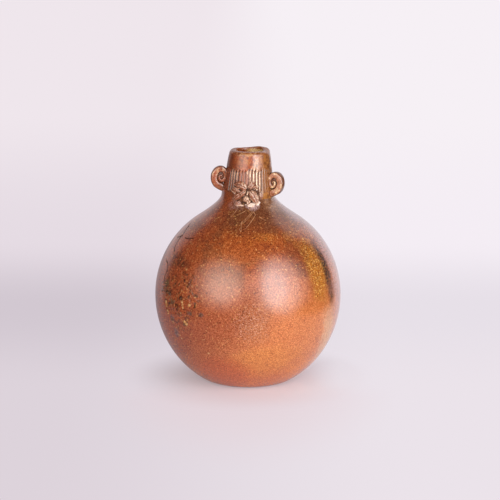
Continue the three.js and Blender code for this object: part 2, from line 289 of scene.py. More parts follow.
class Shade:
    """A socket of a material's nodes. Arithmetic on it adds Math nodes, and `node` adds any other node."""

    def __init__(self, socket):
        self.socket = socket

    def node(self, kind, settings=None, inputs=None, output=0):
        tree = self.socket.id_data
        node = tree.nodes.new(kind)
        for setting, value in (settings or {}).items():
            setattr(node, setting, value)
        for key, value in (inputs or {}).items():
            if isinstance(value, Shade):
                tree.links.new(value.socket, node.inputs[key])
            else:
                node.inputs[key].default_value = value
        return Shade(node.outputs[output])

    def maths(self, operation, first, second=0.0):
        return self.node("ShaderNodeMath", {"operation": operation}, {0: first, 1: second})

    def __add__(self, other):
        return self.maths("ADD", self, other)

    __radd__ = __add__

    def __sub__(self, other):
        return self.maths("SUBTRACT", self, other)

    def __rsub__(self, other):
        return self.maths("SUBTRACT", other, self)

    def __mul__(self, other):
        return self.maths("MULTIPLY", self, other)

    __rmul__ = __mul__

    def __truediv__(self, other):
        return self.maths("DIVIDE", self, other)

    def __pow__(self, other):
        return self.maths("POWER", self, other)

    def ease(self, low, high, start=0.0, end=1.0):
        """A smooth ramp from start to end as this value goes from low to high."""
        return self.node("ShaderNodeMapRange", {"interpolation_type": "SMOOTHSTEP"}, {
            "Value": self, "From Min": low, "From Max": high, "To Min": start, "To Max": end,
        })

    def grain(self, scale, detail=2.0, roughness=0.5, distortion=0.0):
        """A noise pattern over this place, from about 0 to 1."""
        return self.node("ShaderNodeTexNoise", None, {
            "Vector": self, "Scale": scale, "Detail": detail,
            "Roughness": roughness, "Distortion": distortion,
        })

    def grains(self, scale):
        """Three values from 0 to 1, each its own for every one of many small grains packed together."""
        return self.node("ShaderNodeTexVoronoi", None, {"Vector": self, "Scale": scale}, 1).parts()

    def parts(self):
        """The three parts of a place."""
        split = self.node("ShaderNodeSeparateXYZ", None, {"Vector": self}).socket.node
        return [Shade(part) for part in split.outputs]

    def turned(self, north):
        """Degrees from the front, with this as the distance to the right and the other to the back."""
        return self.maths("ARCTAN2", self, north * -1) * (180 / math.pi)

    def own(self, name):
        """A value that the mesh carries at its points."""
        return self.node("ShaderNodeAttribute", {"attribute_name": name}, None, 2)

    def blend(self, first, second, mode="MIX"):
        """The two colours mixed by this value."""
        settings = {"data_type": "RGBA", "blend_type": mode}
        return self.node("ShaderNodeMix", settings, {"Factor": self, 6: first, 7: second}, 2)


def colour(red, green, blue):
    """A colour given as screen values from 0 to 255."""
    values = (red, green, blue)
    linear = [v / 255 / 12.92 if v <= 10 else ((v / 255 + 0.055) / 1.055) ** 2.4 for v in values]
    return (*linear, 1)


def fired(name):
    """A new material, with its shader and the place on the piece that its patterns read."""
    material = bpy.data.materials.new(name)
    material.use_nodes = True
    tree = material.node_tree
    shader = tree.nodes["Principled BSDF"]
    place = Shade(tree.nodes.new("ShaderNodeTexCoord").outputs["Object"])
    return material, shader, place


def dress(shader, base, roughness, bump, bump_depth, strength):
    """Links the colour, the roughness and the fine relief of a finish to its shader."""
    tree = shader.id_data
    tree.links.new(base.socket, shader.inputs["Base Color"])
    tree.links.new(roughness.socket, shader.inputs["Roughness"])
    relief = bump.node("ShaderNodeBump", None, {"Height": bump, "Distance": bump_depth, "Strength": strength})
    tree.links.new(relief.socket, shader.inputs["Normal"])


FINE_GRAINS, ASH_GRAINS, COARSE_GRAINS = 2300, 1300, 1000  # to a metre
GRAIN_DARK = (0.40, 0.22, 0.10, 1)  # share of the red, green and blue that a dark grain leaves
GRAIN_PALE = (1.75, 2.50, 4.00, 1)
SPECK_DARK = (0.42, 0.28, 0.16, 1)
SPARK = colour(240, 180, 104)


def speckled(base, place, amount):
    """The colour broken up by the fine dark and pale grains of melted ash."""
    tone, _, _ = place.grains(FINE_GRAINS)
    base = (tone.ease(0.5, 1.0) * amount).blend(base, GRAIN_DARK, "MULTIPLY")
    base = (tone.ease(0.5, 0.0) * amount).blend(base, GRAIN_PALE, "MULTIPLY")
    _, chance, _ = place.grains(COARSE_GRAINS)
    base = (chance.ease(0.05, 0.02) * amount).blend(base, SPECK_DARK, "MULTIPLY")
    return (chance.ease(0.965, 0.99) * (0.4 * amount)).blend(base, SPARK)


RUST = colour(160, 76, 36)
ORANGE = colour(196, 108, 50)
GOLDEN = colour(202, 118, 44)
AMBER = colour(147, 65, 20)
BROWN = colour(138, 62, 18)
UMBER = colour(104, 54, 25)
LEFT_RUST_AND_SHADE = colour(148, 63, 24)
FOOT_RED = colour(192, 98, 34)
SLIP_AND_HIGHLIGHT = colour(222, 184, 166)
BROWN_SHADE = colour(104, 46, 20)
ASHEN = colour(190, 142, 104)
GOLD_UNDER = colour(118, 60, 12)
GOLD_ASH = colour(186, 104, 20)
GOLD_DUST = colour(200, 120, 38)
GOLD_SPARK = colour(240, 182, 84)
SMOKE = colour(44, 28, 12)
CHAR = colour(56, 30, 10)
RIGHT_REFLECTED_PAPER = colour(172, 126, 112)
TAN = colour(212, 158, 104)
OCHRE = colour(196, 142, 76)
COLLAR_TAN = colour(150, 104, 70)
FOOT_GOLD = colour(214, 120, 40)
FOOT_RUST = colour(176, 68, 22)
OLIVE_SCAB = colour(100, 68, 34)
GREY_SCAB = colour(110, 70, 58)
PATCHES = (  # centre as azimuth and height, half the width in degrees, half the height, strength, colour
    ((-12, 139), 26, 10, 0.15, ORANGE),
    ((-22, 20), 26, 22, 0.55, FOOT_RUST),
    ((3, 82), 15, 30, 0.15, UMBER),
    ((48, 20), 18, 16, 0.5, FOOT_GOLD),
    ((52, 181), 24, 8, 0.5, COLLAR_TAN),
)
SCABS = (  # the thick spots of ash, given in the same way but all of one strength
    ((-52.5, 91), 2.4, 3.2, OLIVE_SCAB),
    ((-57, 98.5), 4.2, 2.4, CHAR),
    ((-61, 107), 2.4, 3.4, OLIVE_SCAB),
    ((-37.2, 83.6), 2.0, 2.4, GREY_SCAB),
    ((-29, 84), 1.7, 2.8, GREY_SCAB),
    ((-53.5, 74), 2.2, 3.4, GREY_SCAB),
    ((-41, 72.5), 2.2, 3.6, OLIVE_SCAB),
    ((-51, 60), 3.0, 6.0, GREY_SCAB),
    ((-33.4, 94), 0.9, 1.6, CHAR),
    ((-45, 97), 1.6, 2.4, CHAR),
)
SCAB_STRENGTH = 0.85

clay, clay_shader, spot = fired("wood_fired_clay")
east, north, height = spot.parts()
around = east.turned(north)

cloud = spot.grain(14, 4, 0.55)
drift = spot.grain(38, 5, 0.6) - 0.5
ragged = (spot.grain(70, 6, 0.65) - 0.5) * 1.1
fleck = spot.grain(420, 4, 0.7)
drifted = height + drift * 0.03


def oval(centre, half_width, half_height, wobble, azimuth=around):
    """1 inside an oval on the wall, fading to 0 at its ragged edge."""
    across = (azimuth - centre[0]) / half_width
    upward = (height - centre[1] * MM) / (half_height * MM)
    distance = (across * across + upward * upward) ** 0.5 + wobble
    return distance.ease(1.25, 0.45)


# The clay is orange low down and rust above, red at the very foot, redder and darker on the left partly as
# painted shade, and brown on the shoulder.
warm = (east * 0.8 - height + 0.064 + (cloud - 0.5) * 0.07).ease(-0.04, 0.045)
base = warm.blend(RUST, ORANGE)
base = (height + (cloud - 0.5) * 0.02).ease(0.045, 0.008).blend(base, FOOT_RED)
base = (oval((14, 37), 26, 18, ragged) * 0.6).blend(base, GOLDEN)
base = drifted.ease(0.112, 0.144).blend(base, AMBER)
base = drifted.ease(0.146, 0.168).blend(base, BROWN)
base = (height + drift * 0.02).ease(0.156, 0.177).blend(base, UMBER)
left_rust_and_shade = (around + (cloud - 0.5) * 40).ease(-12, -54) * around.ease(-178, -115) * drifted.ease(-0.02, 0.075)
# painted shade, in part: the left side is painted darker and redder
base = (left_rust_and_shade * 0.85).blend(base, LEFT_RUST_AND_SHADE)
smoked = spot.grain(34, 5, 0.62).ease(0.48, 0.62) * (height + drift * 0.05).ease(0.085, 0.15)
base = (smoked * 0.65).blend(base, UMBER)

# Golden dust and brown shade lie on the front shoulder, and single patches elsewhere.
dusted = spot.grain(52, 5, 0.62, 0.4).ease(0.53, 0.68) * height.ease(0.125, 0.14) * height.ease(0.168, 0.155)
dusted = dusted * east.ease(-0.008, 0.012) * 0.45 + oval((13, 156), 12, 4.0, ragged * 2.0) * 0.4
base = (dusted * spot.grains(COARSE_GRAINS)[2]).blend(base, GOLD_DUST)
browned = oval((40, 137), 13, 15, ragged * 1.4) * 0.45 + oval((3, 162), 17, 7, ragged) * 0.38
base = browned.blend(base, BROWN_SHADE)
for centre, half_width, half_height, strength, tone in PATCHES:
    base = (oval(centre, half_width, half_height, ragged) * strength).blend(base, tone)
ashen = oval((2, 78), 13, 22, ragged * 1.2, around + drift * 20)
base = (ashen * spot.grains(ASH_GRAINS)[0].ease(0.45, 0.85) * 0.4).blend(base, ASHEN)

# On the right a streak of golden ash runs beside a smoked one, with a tan streak below, and behind them a
# pale lavender veil that is painted reflection of the paper.
gold = oval((52, 122), 10.5, 31, ragged)
gold_grain, gold_chance, _ = spot.grains(ASH_GRAINS)
base = (gold * 0.6).blend(base, GOLD_UNDER)
base = (gold * gold_grain.ease(0.25, 0.70) * 0.85).blend(base, GOLD_ASH)
base = (gold * gold_chance.ease(0.76, 0.90) * 0.85).blend(base, GOLD_SPARK)
smoke = oval((62, 118), 5.0, 34, ragged * 1.1)
base = (smoke * fleck.ease(0.78, 0.40) * 0.95).blend(base, SMOKE)
tan = oval((63.5, 54), 9, 42, ragged * 1.4, around + (height - 0.056) * 160 + drift * 10)
tan = tan * drifted.ease(0.098, 0.062)
base = (tan * fleck.ease(0.30, 0.55) * 0.8).blend(base, TAN)
# painted reflection: a pale lavender veil where the right side mirrors the paper
reflection_veil = (around + drift * 44).ease(54, 84) * around.ease(178, 115)
reflection_veil = reflection_veil * (height + drift * 0.06).ease(0.03, 0.115)
base = (reflection_veil * 0.6).blend(base, RIGHT_REFLECTED_PAPER)

# The left shoulder is scorched, slip is smeared round the neck's foot, its pale front partly a painted
# highlight, and all the shoulder is mottled.
scorched = oval((-54, 129), 12, 7, ragged * 1.6)
base = (scorched * fleck.ease(0.36, 0.56) * 0.75).blend(base, CHAR)
# painted highlight, in part: the pale oval in front of the neck's foot stands for light on the collar
slip_and_highlight = oval((9, 181.5), 14, 4.5, ragged * 1.5) * 0.65 + oval((-20, 181.5), 20, 4.5, ragged * 1.8) * 0.12
base = (slip_and_highlight * fleck.ease(0.32, 0.58)).blend(base, SLIP_AND_HIGHLIGHT)
mottle = spot.grain(170, 4, 0.7)
mottled = height.ease(0.10, 0.135) * height.ease(0.182, 0.172)
base = (mottled * mottle.ease(0.53, 0.68) * 0.5).blend(base, BROWN_SHADE)
base = (mottled * mottle.ease(0.45, 0.32) * 0.22).blend(base, ORANGE)

# The crust is charred and ochre in small flakes, with thick scabs.
crust = spot.own("crust_share")
crusted = crust.ease(0.02, 0.6)
char = crusted * spot.grain(240, 5, 0.7).ease(0.535, 0.60)
char = char + oval((-63, 101), 7, 9, ragged * 1.8) * fleck.ease(0.40, 0.56)
base = (char * 0.8).blend(base, CHAR)
ochre = crusted * spot.grain(230, 4, 0.7).ease(0.59, 0.67)
base = (ochre * 0.6).blend(base, OCHRE)
for centre, half_width, half_height, tone in SCABS:
    scab = oval(centre, half_width, half_height, ragged * 1.5 + (fleck - 0.5) * 1.2)
    base = (scab * SCAB_STRENGTH).blend(base, tone)
speckle = 1.1 - warm * 0.40 + height.ease(0.11, 0.14) * 0.25 - height.ease(0.165, 0.186) * 0.5
base = speckled(base, spot, speckle)
shine = 0.22 + drift * 0.06 + tan * 0.12 - char * 0.08 - height.ease(0.172, 0.184) * 0.10
pitting = spot.grain(950, 2, 0.6) * 0.6 + spot.grain(300, 3, 0.6) * 0.2
pitting = pitting + crust * spot.grain(260, 4, 0.7) * 0.8
dress(clay_shader, base, shine, pitting, 0.2 * MM, 0.3)

# A thin glassy coat of melted ash lies on both sides, outside the smoked streak.
glazed_right = (around + drift * 20).ease(44, 74) * around.ease(178, 130) * 0.45
glazed_left = around.ease(-58, -72) * around.ease(-178, -130) * height.ease(0.04, 0.10) * 0.42
glazed = (glazed_right + glazed_left) * (1 - smoke * 0.9)
clay.node_tree.links.new(glazed.socket, clay_shader.inputs["Coat Weight"])
clay_shader.inputs["Coat IOR"].default_value = 1.7
clay_shader.inputs["Coat Roughness"].default_value = 0.18
clay_shader.inputs["Specular IOR Level"].default_value = 1.0


def settle(piece, finish, slot, *nodes):
    """Gives a piece its finish, hangs it under the root body, and hides the CAD nodes that it stands for. The
    slot is not used.
    """
    piece.data.materials.append(finish)
    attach(piece, "root")
    if nodes:
        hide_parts(*nodes)


settle(globe, clay, "bowl_clay", "lower_bowl", "shoulder_dome")


# THE NECK
# A thick thrown tube set on the collar and leaning a little to the right, with a rounded lip that is pulled
# up at the back. Its lower part is gouged all round with upright flutes, cut freehand with a round-nosed
# tool.

NECK_HEIGHT = 45 * MM
NECK_BORE = 13.5 * MM
LIP_DROP = 4.5 * MM
LIP_FLAT = 1.5 * MM
MOUTH = NECK_FOOT + NECK_HEIGHT
NECK_STEPS = 616
FLUTE_TOP = MOUTH - 17 * MM
FLUTE_DEPTH = 1.8 * MM
FLUTE_SPACING = 8.3  # degrees
FLUTE_STRENGTHS = (  # by azimuth: the strokes are shallow in front, and fade beside the lugs
    (-180, 0.8), (-110, 0.8), (-76, 0.4), (-58, 0.5), (-50, 1.0), (-30, 1.0), (-24, 0.6),
    (0, 0.6), (5, 1.0), (31, 1.0), (38, 0.35), (80, 0.3), (110, 0.8), (180, 0.8),
)
FRONT_RIDGES = (-46.7, -38.8, -30.8, -21.4, -14.5, -4.3, 3.0, 11.4, 19.5, 27.1, 37.0)

FLUTED_RISES = [-2, -1] + [i * 0.8 for i in range(36)]
PLAIN_RISES = (29.5, 31, 32.5, 34, 35.5, 37, 38.5, 39.6)
LIP_ROWS = 12
BORE_DROPS = (5, 9, 15, 22, 30, 38, 45)
BORE_FLARE = 0.135  # the bore widens downwards by this much for each unit of depth
FOOT_TURN_IN = 0.9 * MM

section = []
for rise in FLUTED_RISES:
    turned_in = FOOT_TURN_IN * max(0, (1.6 - rise) / 3.6) ** 2
    section.append((outer_radius(NECK_FOOT + rise * MM) - turned_in, NECK_FOOT + rise * MM))
for rise in PLAIN_RISES:
    section.append((outer_radius(NECK_FOOT + rise * MM), NECK_FOOT + rise * MM))
for i in range(LIP_ROWS + 1):
    t = i / LIP_ROWS
    lip_radius = (1 - t * t) * NECK_TOP_RADIUS + t * t * (NECK_BORE + LIP_FLAT)
    section.append((lip_radius, MOUTH - LIP_DROP * (1 - t) ** 2))
section.append((NECK_BORE + 0.5 * MM, MOUTH - 0.15 * MM))
section.append((NECK_BORE, MOUTH - 0.9 * MM))
section.append((NECK_BORE - 0.1 * MM, MOUTH - 2.5 * MM))
section += [(NECK_BORE + drop * BORE_FLARE * MM, MOUTH - drop * MM) for drop in BORE_DROPS]
section += [(22 * MM, NECK_FOOT - 0.5 * MM), section[0]]
neck = turn_section("neck", section, NECK_STEPS)

dice = random.Random(7)
ridges = list(FRONT_RIDGES)
back_width = FRONT_RIDGES[0] + 360 - FRONT_RIDGES[-1]
back_count = round(back_width / FLUTE_SPACING)
back_spacing = back_width / back_count
ridges += [FRONT_RIDGES[-1] + back_spacing * (i + dice.uniform(-0.16, 0.16)) for i in range(1, back_count)]
ridges.append(FRONT_RIDGES[0] + 360)
flutes = [
    (left, right, FLUTE_TOP + dice.uniform(-1.4, 0.9) * MM, dice.uniform(0.78, 1.0), dice.uniform(0.2, 1.3))
    for left, right in zip(ridges, ridges[1:])
]


def stroke_strength(azimuth):
    """How hard the tool was pressed at an azimuth."""
    for (a0, s0), (a1, s1) in zip(FLUTE_STRENGTHS, FLUTE_STRENGTHS[1:]):
        if azimuth <= a1:
            return s0 + (s1 - s0) * (azimuth - a0) / (a1 - a0)
    return s1


def flute_at(place):
    """How deep the nearest groove is at a place on the neck, and 1 where the neck is fluted at all.

    Each groove starts in a short hooked stroke, and on the right they run out above the collar.
    """
    if math.hypot(place.x, place.y) < outer_radius(place.z) - 1.5 * MM or place.z > FLUTE_TOP + 3 * MM:
        return 0, 0
    azimuth = azimuth_of(place)
    run_out = 5 * MM * soft_step(4, 34, azimuth) * soft_step(150, 110, azimuth)
    end = ledge_height(azimuth) + run_out
    foot = soft_step(end - 2.5 * MM - run_out / 2, end + 2 * MM + run_out, place.z)
    foot *= stroke_strength(azimuth)
    if azimuth < ridges[0]:
        azimuth += 360
    nearest = bisect.bisect(ridges, azimuth) - 1
    for left, right, top, depth, hook in flutes[max(0, nearest - 1) : nearest + 1]:
        bent = azimuth - hook * 2.2 * soft_step(top - 3.0 * MM, top + 0.6 * MM, place.z)
        if left <= bent < right:
            from_groove = abs(2 * (bent - left) / (right - left) - 1)
            hollow = 1 - math.sqrt(1 - (1 - from_groove) ** 2)
            start = soft_step(top + 0.7 * MM, top - 0.7 * MM, place.z)
            bite = 0.8 + 0.25 * math.exp(-(((top - place.z) / MM - 1.4) / 1.6) ** 2)
            return hollow * start * bite * foot * depth, start * min(1, 1.6 * foot)
    return 0, 0


def lift(piece, chosen, value, reach):
    """Pulls the chosen vertices by a step, with the clay round them following softly."""
    choose(piece, "VERT", chosen)
    bpy.ops.transform.translate(
        value=value, use_proportional_edit=True, proportional_edit_falloff="SMOOTH", proportional_size=reach
    )
    bpy.ops.object.mode_set(mode="OBJECT")


def lip_at(azimuth, spread):
    """A test for the top of the lip within so many degrees of an azimuth."""

    def test(place):
        away = (azimuth_of(place) - azimuth + 180) % 360 - 180
        return place.z > MOUTH - 1 * MM and abs(away) < spread

    return test


def lean(piece):
    """Tilts a piece with the neck."""
    for vertex in piece.data.vertices:
        vertex.co.x += NECK_LEAN * max(0, vertex.co.z - NECK_FOOT)


weigh(neck, "gouged", lambda place: flute_at(place)[0])
weigh(neck, "fluted", lambda place: flute_at(place)[1])
apply_modifier(neck, "DISPLACE", strength=-FLUTE_DEPTH, mid_level=0, vertex_group="gouged")
lift(neck, lip_at(128, 12), (0, 0, 1.5 * MM), 13 * MM)
lift(neck, lip_at(-118, 6), (-0.4 * MM, 0.2 * MM, 0.6 * MM), 7 * MM)
lift(neck, lip_at(75, 8), (-0.5 * MM, 0, -0.5 * MM), 9 * MM)
roughen(neck, "neck_waver", "CLOUDS", 7 * MM, 0.22 * MM)
lean(neck)
pick(neck)
bpy.ops.object.shade_smooth()

NECK_BROWN = colour(164, 75, 34)
NECK_GOLD = colour(152, 92, 44)
NECK_STAIN_AND_SHADE = colour(92, 42, 18)
RIB_SOOT_AND_SHADOW = colour(122, 56, 28)
RIB_LEFT = colour(132, 56, 26)
RIB_FRONT = colour(150, 79, 48)
RIB_RIGHT = colour(140, 84, 38)
CREST_ASH_AND_HIGHLIGHT = colour(236, 200, 156)
GROOVE_SHADE = colour(54, 22, 8)
COLLAR_BROWN = colour(130, 76, 38)
COLLAR_GOLD = colour(176, 112, 50)
LIP_BROWN = colour(140, 74, 37)
LIP_CREAM_HIGHLIGHT = colour(232, 184, 128)
MOUTH_OLIVE = colour(226, 180, 120)

neck_gloss, neck_shader, neck_spot = fired("ash_gloss")
neck_east, neck_north, neck_height = neck_spot.parts()
neck_around = neck_east.turned(neck_north)
neck_out = ((neck_east - NECK_LEAN * NECK_HEIGHT) ** 2.0 + neck_north * neck_north) ** 0.5
neck_cloud = neck_spot.grain(60, 4, 0.6) - 0.5
neck_mottle = neck_spot.grain(260, 4, 0.65)
uneven = neck_mottle - 0.5
cut = neck_spot.own("gouged_share")
fluted = neck_spot.own("fluted_share")
strayed = neck_around + neck_cloud * 30
forward = strayed.ease(160, 110)  # falls to 0 behind the right side
outside = neck_out.ease(16.5 * MM, 18.5 * MM)

# The plain upper part is brown and golden on the right; it is stained, partly as painted shade, on the left,
# and a pale run on the front right is a painted highlight.
neck_side = neck_east * 3000 + neck_cloud * 60
neck_base = neck_side.ease(12, 50).blend(NECK_BROWN, NECK_GOLD)
# painted shade, in part: the left of the neck is darkened
neck_base = (neck_side.ease(-14, -52) * 0.7).blend(neck_base, NECK_STAIN_AND_SHADE)
neck_base = (neck_side.ease(44, 60) * 0.2).blend(neck_base, NECK_STAIN_AND_SHADE)
painted_highlight_run = strayed.ease(8, 18) * strayed.ease(32, 22) * outside
painted_highlight_run = painted_highlight_run * (neck_height + uneven * 0.006).ease(FLUTE_TOP - 4 * MM, FLUTE_TOP)
painted_highlight_run = painted_highlight_run * neck_height.ease(MOUTH - 4 * MM, MOUTH - 7 * MM)
# painted highlight: a pale band where the right lamp shines on the plain part
neck_base = (painted_highlight_run * 0.32).blend(neck_base, CREST_ASH_AND_HIGHLIGHT)
gilded = neck_mottle.ease(0.48, 0.60) * strayed.ease(-44, -14)
gilded = gilded * neck_height.ease(FLUTE_TOP - 2 * MM, MOUTH - 7 * MM)
neck_base = (gilded * 0.55).blend(neck_base, COLLAR_GOLD)
neck_base = (neck_mottle.ease(0.50, 0.38) * 0.6).blend(neck_base, NECK_STAIN_AND_SHADE)

# The ribs between the flutes have pale crests, partly ash and partly painted highlight, and soot low on the
# left, partly painted shadow cast by the spray.
rib_tone = (strayed.ease(-62, -28) * forward).blend(RIB_LEFT, RIB_FRONT)
rib_tone = (strayed.ease(24, 40) * forward).blend(rib_tone, RIB_RIGHT)
neck_base = (fluted * neck_mottle.ease(0.30, 0.50)).blend(neck_base, rib_tone)
ash_and_highlight_crests = strayed.ease(-2, 8) * strayed.ease(36, 26) + strayed.ease(-52, -44) * strayed.ease(-24, -32) * 0.45
ash_and_highlight_crests = ash_and_highlight_crests * fluted * cut.ease(0.12, 0.0) * neck_mottle.ease(0.36, 0.50)
# painted highlight, in part: pale crests where the ribs catch the lamps
neck_base = (ash_and_highlight_crests * 0.9).blend(neck_base, CREST_ASH_AND_HIGHLIGHT)
soot_and_shadow = strayed.ease(-8, -26) * strayed.ease(-150, -110)
soot_and_shadow = soot_and_shadow * (neck_height + uneven * 0.01).ease(LEDGE_HEIGHT + 20 * MM, LEDGE_HEIGHT + 11 * MM)
# painted shadow, in part: darker ribs under the spray's upper leaves
neck_base = (soot_and_shadow * 0.8).blend(neck_base, RIB_SOOT_AND_SHADOW)
run_height = neck_height + neck_east * math.tan(LEDGE_TILT) + uneven * 0.008
run_down = run_height.ease(LEDGE_HEIGHT + 11 * MM, LEDGE_HEIGHT + 1 * MM) * strayed.ease(8, 36) * forward
neck_base = run_down.blend(neck_base, neck_mottle.ease(0.40, 0.62).blend(COLLAR_BROWN, COLLAR_GOLD))

# The lip is worn brown, creamy in front with ash and a painted highlight, and olive glass has pooled inside
# the mouth.
lip_height = neck_height + uneven * 0.004
neck_base = (lip_height.ease(MOUTH - 4 * MM, MOUTH - 2 * MM) * 0.7).blend(neck_base, LIP_BROWN)
lip_front = strayed.ease(-46, -24) * strayed.ease(48, 22) * neck_north.ease(0.0, -0.004)
lip_ash_and_highlight = lip_height.ease(MOUTH - 4.2 * MM, MOUTH - 2.6 * MM) * outside
lip_ash_and_highlight = lip_ash_and_highlight * lip_front * neck_mottle.ease(0.40, 0.54)
# painted highlight, in part: a cream band on the front of the lip
neck_base = (lip_ash_and_highlight * 0.32).blend(neck_base, LIP_CREAM_HIGHLIGHT)
bored = neck_out.ease(15.5 * MM, 14.0 * MM) * neck_height.ease(MOUTH - 0.7 * MM, MOUTH - 1.7 * MM)
bored = bored * neck_east.ease(-0.004, 0.005) * neck_north.ease(0.0, 0.006)
neck_base = bored.blend(neck_base, MOUTH_OLIVE)
neck_base = speckled(neck_base, neck_spot, 0.4)
# painted shade: the bottoms of the flutes are darkened
neck_base = (cut.ease(0.09, 0.32) * strayed.ease(-28, -22, 0.95, 0.75)).blend(neck_base, GROOVE_SHADE)
neck_relief = neck_spot.grain(420, 3, 0.6) * 0.8 + neck_spot.grain(1100, 2, 0.5) * 0.4
neck_shine = 0.14 + neck_cloud * 0.08 + neck_side.ease(8, -24) * 0.12
dress(neck_shader, neck_base, neck_shine, neck_relief, 0.18 * MM, 0.2)
neck_shader.inputs["Specular IOR Level"].default_value = 0.8
settle(neck, neck_gloss, "neck_clay", "neck_tube")


# THE SCROLL LUGS
# Two tapered straps of clay, each rolled up like a fern head and stuck to the side of the neck by its thick
# end. The right one sits lower and is turned half towards the front.

STRAP_WIDTH = 8 * MM
STRAP_FOOT = 7 * MM
STRAP_TAPER = 5.4 * MM
SCROLL_RADIUS = 9.3 * MM
SCROLL_SQUEEZE = 0.77
SCROLL_START, SCROLL_TIGHT, SCROLL_END = 15, 285, 620  # degrees round from straight below the eye
SCROLL_CLOSING = 440  # degrees at which the wide turn would reach the eye
TIGHT_CLOSING = 197  # degrees in which the tight turns shrink to about a third
TAPER_END = 400  # degrees at which the strap would have tapered all the way
TIGHT_THINNING = 300  # degrees in which the tight turns' strap thins to about a third
FOOT_SWELL, FOOT_SPREAD = 1.12, 1.05  # how much thicker and wider the strap starts
TIP_NARROWING = 0.16
WEB_REACH = 7.4 * MM
WEB_THICKNESS = 4.4 * MM
FOOT_TUCK = 7 * MM
EYE_OFFSET = 3.8 * MM
STRAP_STATIONS = 60


def scroll_middle(sweep):
    """Middle of the rolled strap about its eye, outwards and up."""
    reach = SCROLL_RADIUS * (1 - (min(sweep, SCROLL_TIGHT) / SCROLL_CLOSING) ** 2)
    reach *= math.exp(-max(0, sweep - SCROLL_TIGHT) / TIGHT_CLOSING)
    turn = math.radians(sweep - 90)
    return Vector((SCROLL_SQUEEZE * reach * math.cos(turn), reach * math.sin(turn), 0))


def strap_thickness(sweep):
    """Thickness of the strap, which tapers as it is rolled up."""
    rolled = (min(sweep, SCROLL_TIGHT) - SCROLL_START) / (TAPER_END - SCROLL_START)
    thinned = math.exp(-max(0, sweep - SCROLL_TIGHT) / TIGHT_THINNING)
    return (STRAP_FOOT - STRAP_TAPER * rolled**2) * thinned


def add_grid(name, columns, rows, size=1):
    """A flat grid to start a piece from, with everything else deselected."""
    bpy.ops.object.select_all(action="DESELECT")
    bpy.ops.mesh.primitive_grid_add(x_subdivisions=columns, y_subdivisions=rows, size=size)
    piece = bpy.context.object
    piece.name = name
    return piece


def set_in_place():
    """Moves the turn, place and scale of the selected object into its mesh."""
    bpy.ops.object.transform_apply(location=True, rotation=True, scale=True)


def rolled_strap(name):
    """A straight tapered strap, extruded station by station and then rolled along a spiral."""
    shares = [i / STRAP_STATIONS for i in range(STRAP_STATIONS + 1)]
    sweeps = [SCROLL_START + (SCROLL_END - SCROLL_START) * share for share in shares]
    route = [scroll_middle(sweep) for sweep in sweeps]
    route.insert(0, route[0] - FOOT_TUCK * (route[1] - route[0]).normalized())
    thicknesses = [STRAP_FOOT * FOOT_SWELL] + [strap_thickness(sweep) for sweep in sweeps]
    widths = [STRAP_WIDTH * (1 - TIP_NARROWING * share**1.5) for share in shares]
    widths.insert(0, STRAP_WIDTH * FOOT_SPREAD)
    strap = add_grid(name, 2, 2)
    bpy.ops.object.mode_set(mode="EDIT")
    bpy.ops.mesh.select_all(action="SELECT")
    bpy.ops.transform.resize(value=(widths[0], thicknesses[0], 1), center_override=(0, 0, 0))
    length = 0
    for i in range(1, len(route)):
        step = (route[i] - route[i - 1]).length
        length += step
        bpy.ops.mesh.extrude_region_move(TRANSFORM_OT_translate={"value": (0, 0, step)})
        taper = (widths[i] / widths[i - 1], thicknesses[i] / thicknesses[i - 1], 1)
        bpy.ops.transform.resize(value=taper, center_override=(0, 0, length))
    bpy.ops.mesh.select_all(action="SELECT")
    bpy.ops.mesh.normals_make_consistent(inside=False)
    bpy.ops.object.mode_set(mode="OBJECT")
    apply_modifier(strap, "SUBSURF", levels=2, render_levels=2)
    strap.rotation_euler = (0, math.pi / 2, 0)
    set_in_place()
    # the rim weight marks the strap's edges, which the lug finish darkens as painted shade
    weigh(strap, "rim", lambda place: soft_step(0.47, 0.37, abs(place.z) / STRAP_WIDTH))
    spiral = bpy.data.curves.new("roll", "CURVE")
    spline = spiral.splines.new("POLY")
    spline.points.add(len(route) - 1)
    for point, place in zip(spline.points, route):
        point.co = (*place, 1)
    roll = bpy.data.objects.new("roll", spiral)
    bpy.context.collection.objects.link(roll)
    apply_modifier(strap, "CURVE", object=roll, deform_axis="POS_X")
    bpy.data.objects.remove(roll)
    return strap


LUG_CLAY = colour(162, 90, 60)
LUG_BROWN = colour(134, 68, 34)
LUG_TAN = colour(182, 120, 88)
LUG_GOLD_HIGHLIGHT = colour(244, 206, 152)
LUG_EDGE_SHADE = colour(92, 46, 22)
FILLING_DARK = colour(92, 48, 28)
FILLING_BROWN = colour(128, 70, 42)
LUGS = (("left_scroll_lug", -86, 18.5 * MM), ("right_scroll_lug", 65, 14 * MM))  # azimuth and rise of the eye

lug_finish, lug_shader, lug_spot = fired("lug_gloss")
lug_east = lug_spot.parts()[0]
lug_cloud = lug_spot.grain(110, 4, 0.6)
lug_base = lug_east.ease(-0.005, 0.005).blend(LUG_CLAY, LUG_TAN)
lug_base = lug_cloud.ease(0.46, 0.68).blend(lug_base, LUG_BROWN)
lug_rim_shade = lug_spot.own("rim_share")
# painted highlight, in part: pale gold flecks, most on the right lug, stand for its cream highlights
ash_dust_and_highlight = lug_spot.grain(240, 3, 0.6).ease(0.50, 0.66) * lug_east.ease(-0.005, 0.02, 0.35, 0.9)
lug_base = ash_dust_and_highlight.blend(lug_base, LUG_GOLD_HIGHLIGHT)
lug_base = speckled(lug_base, lug_spot, 0.35)
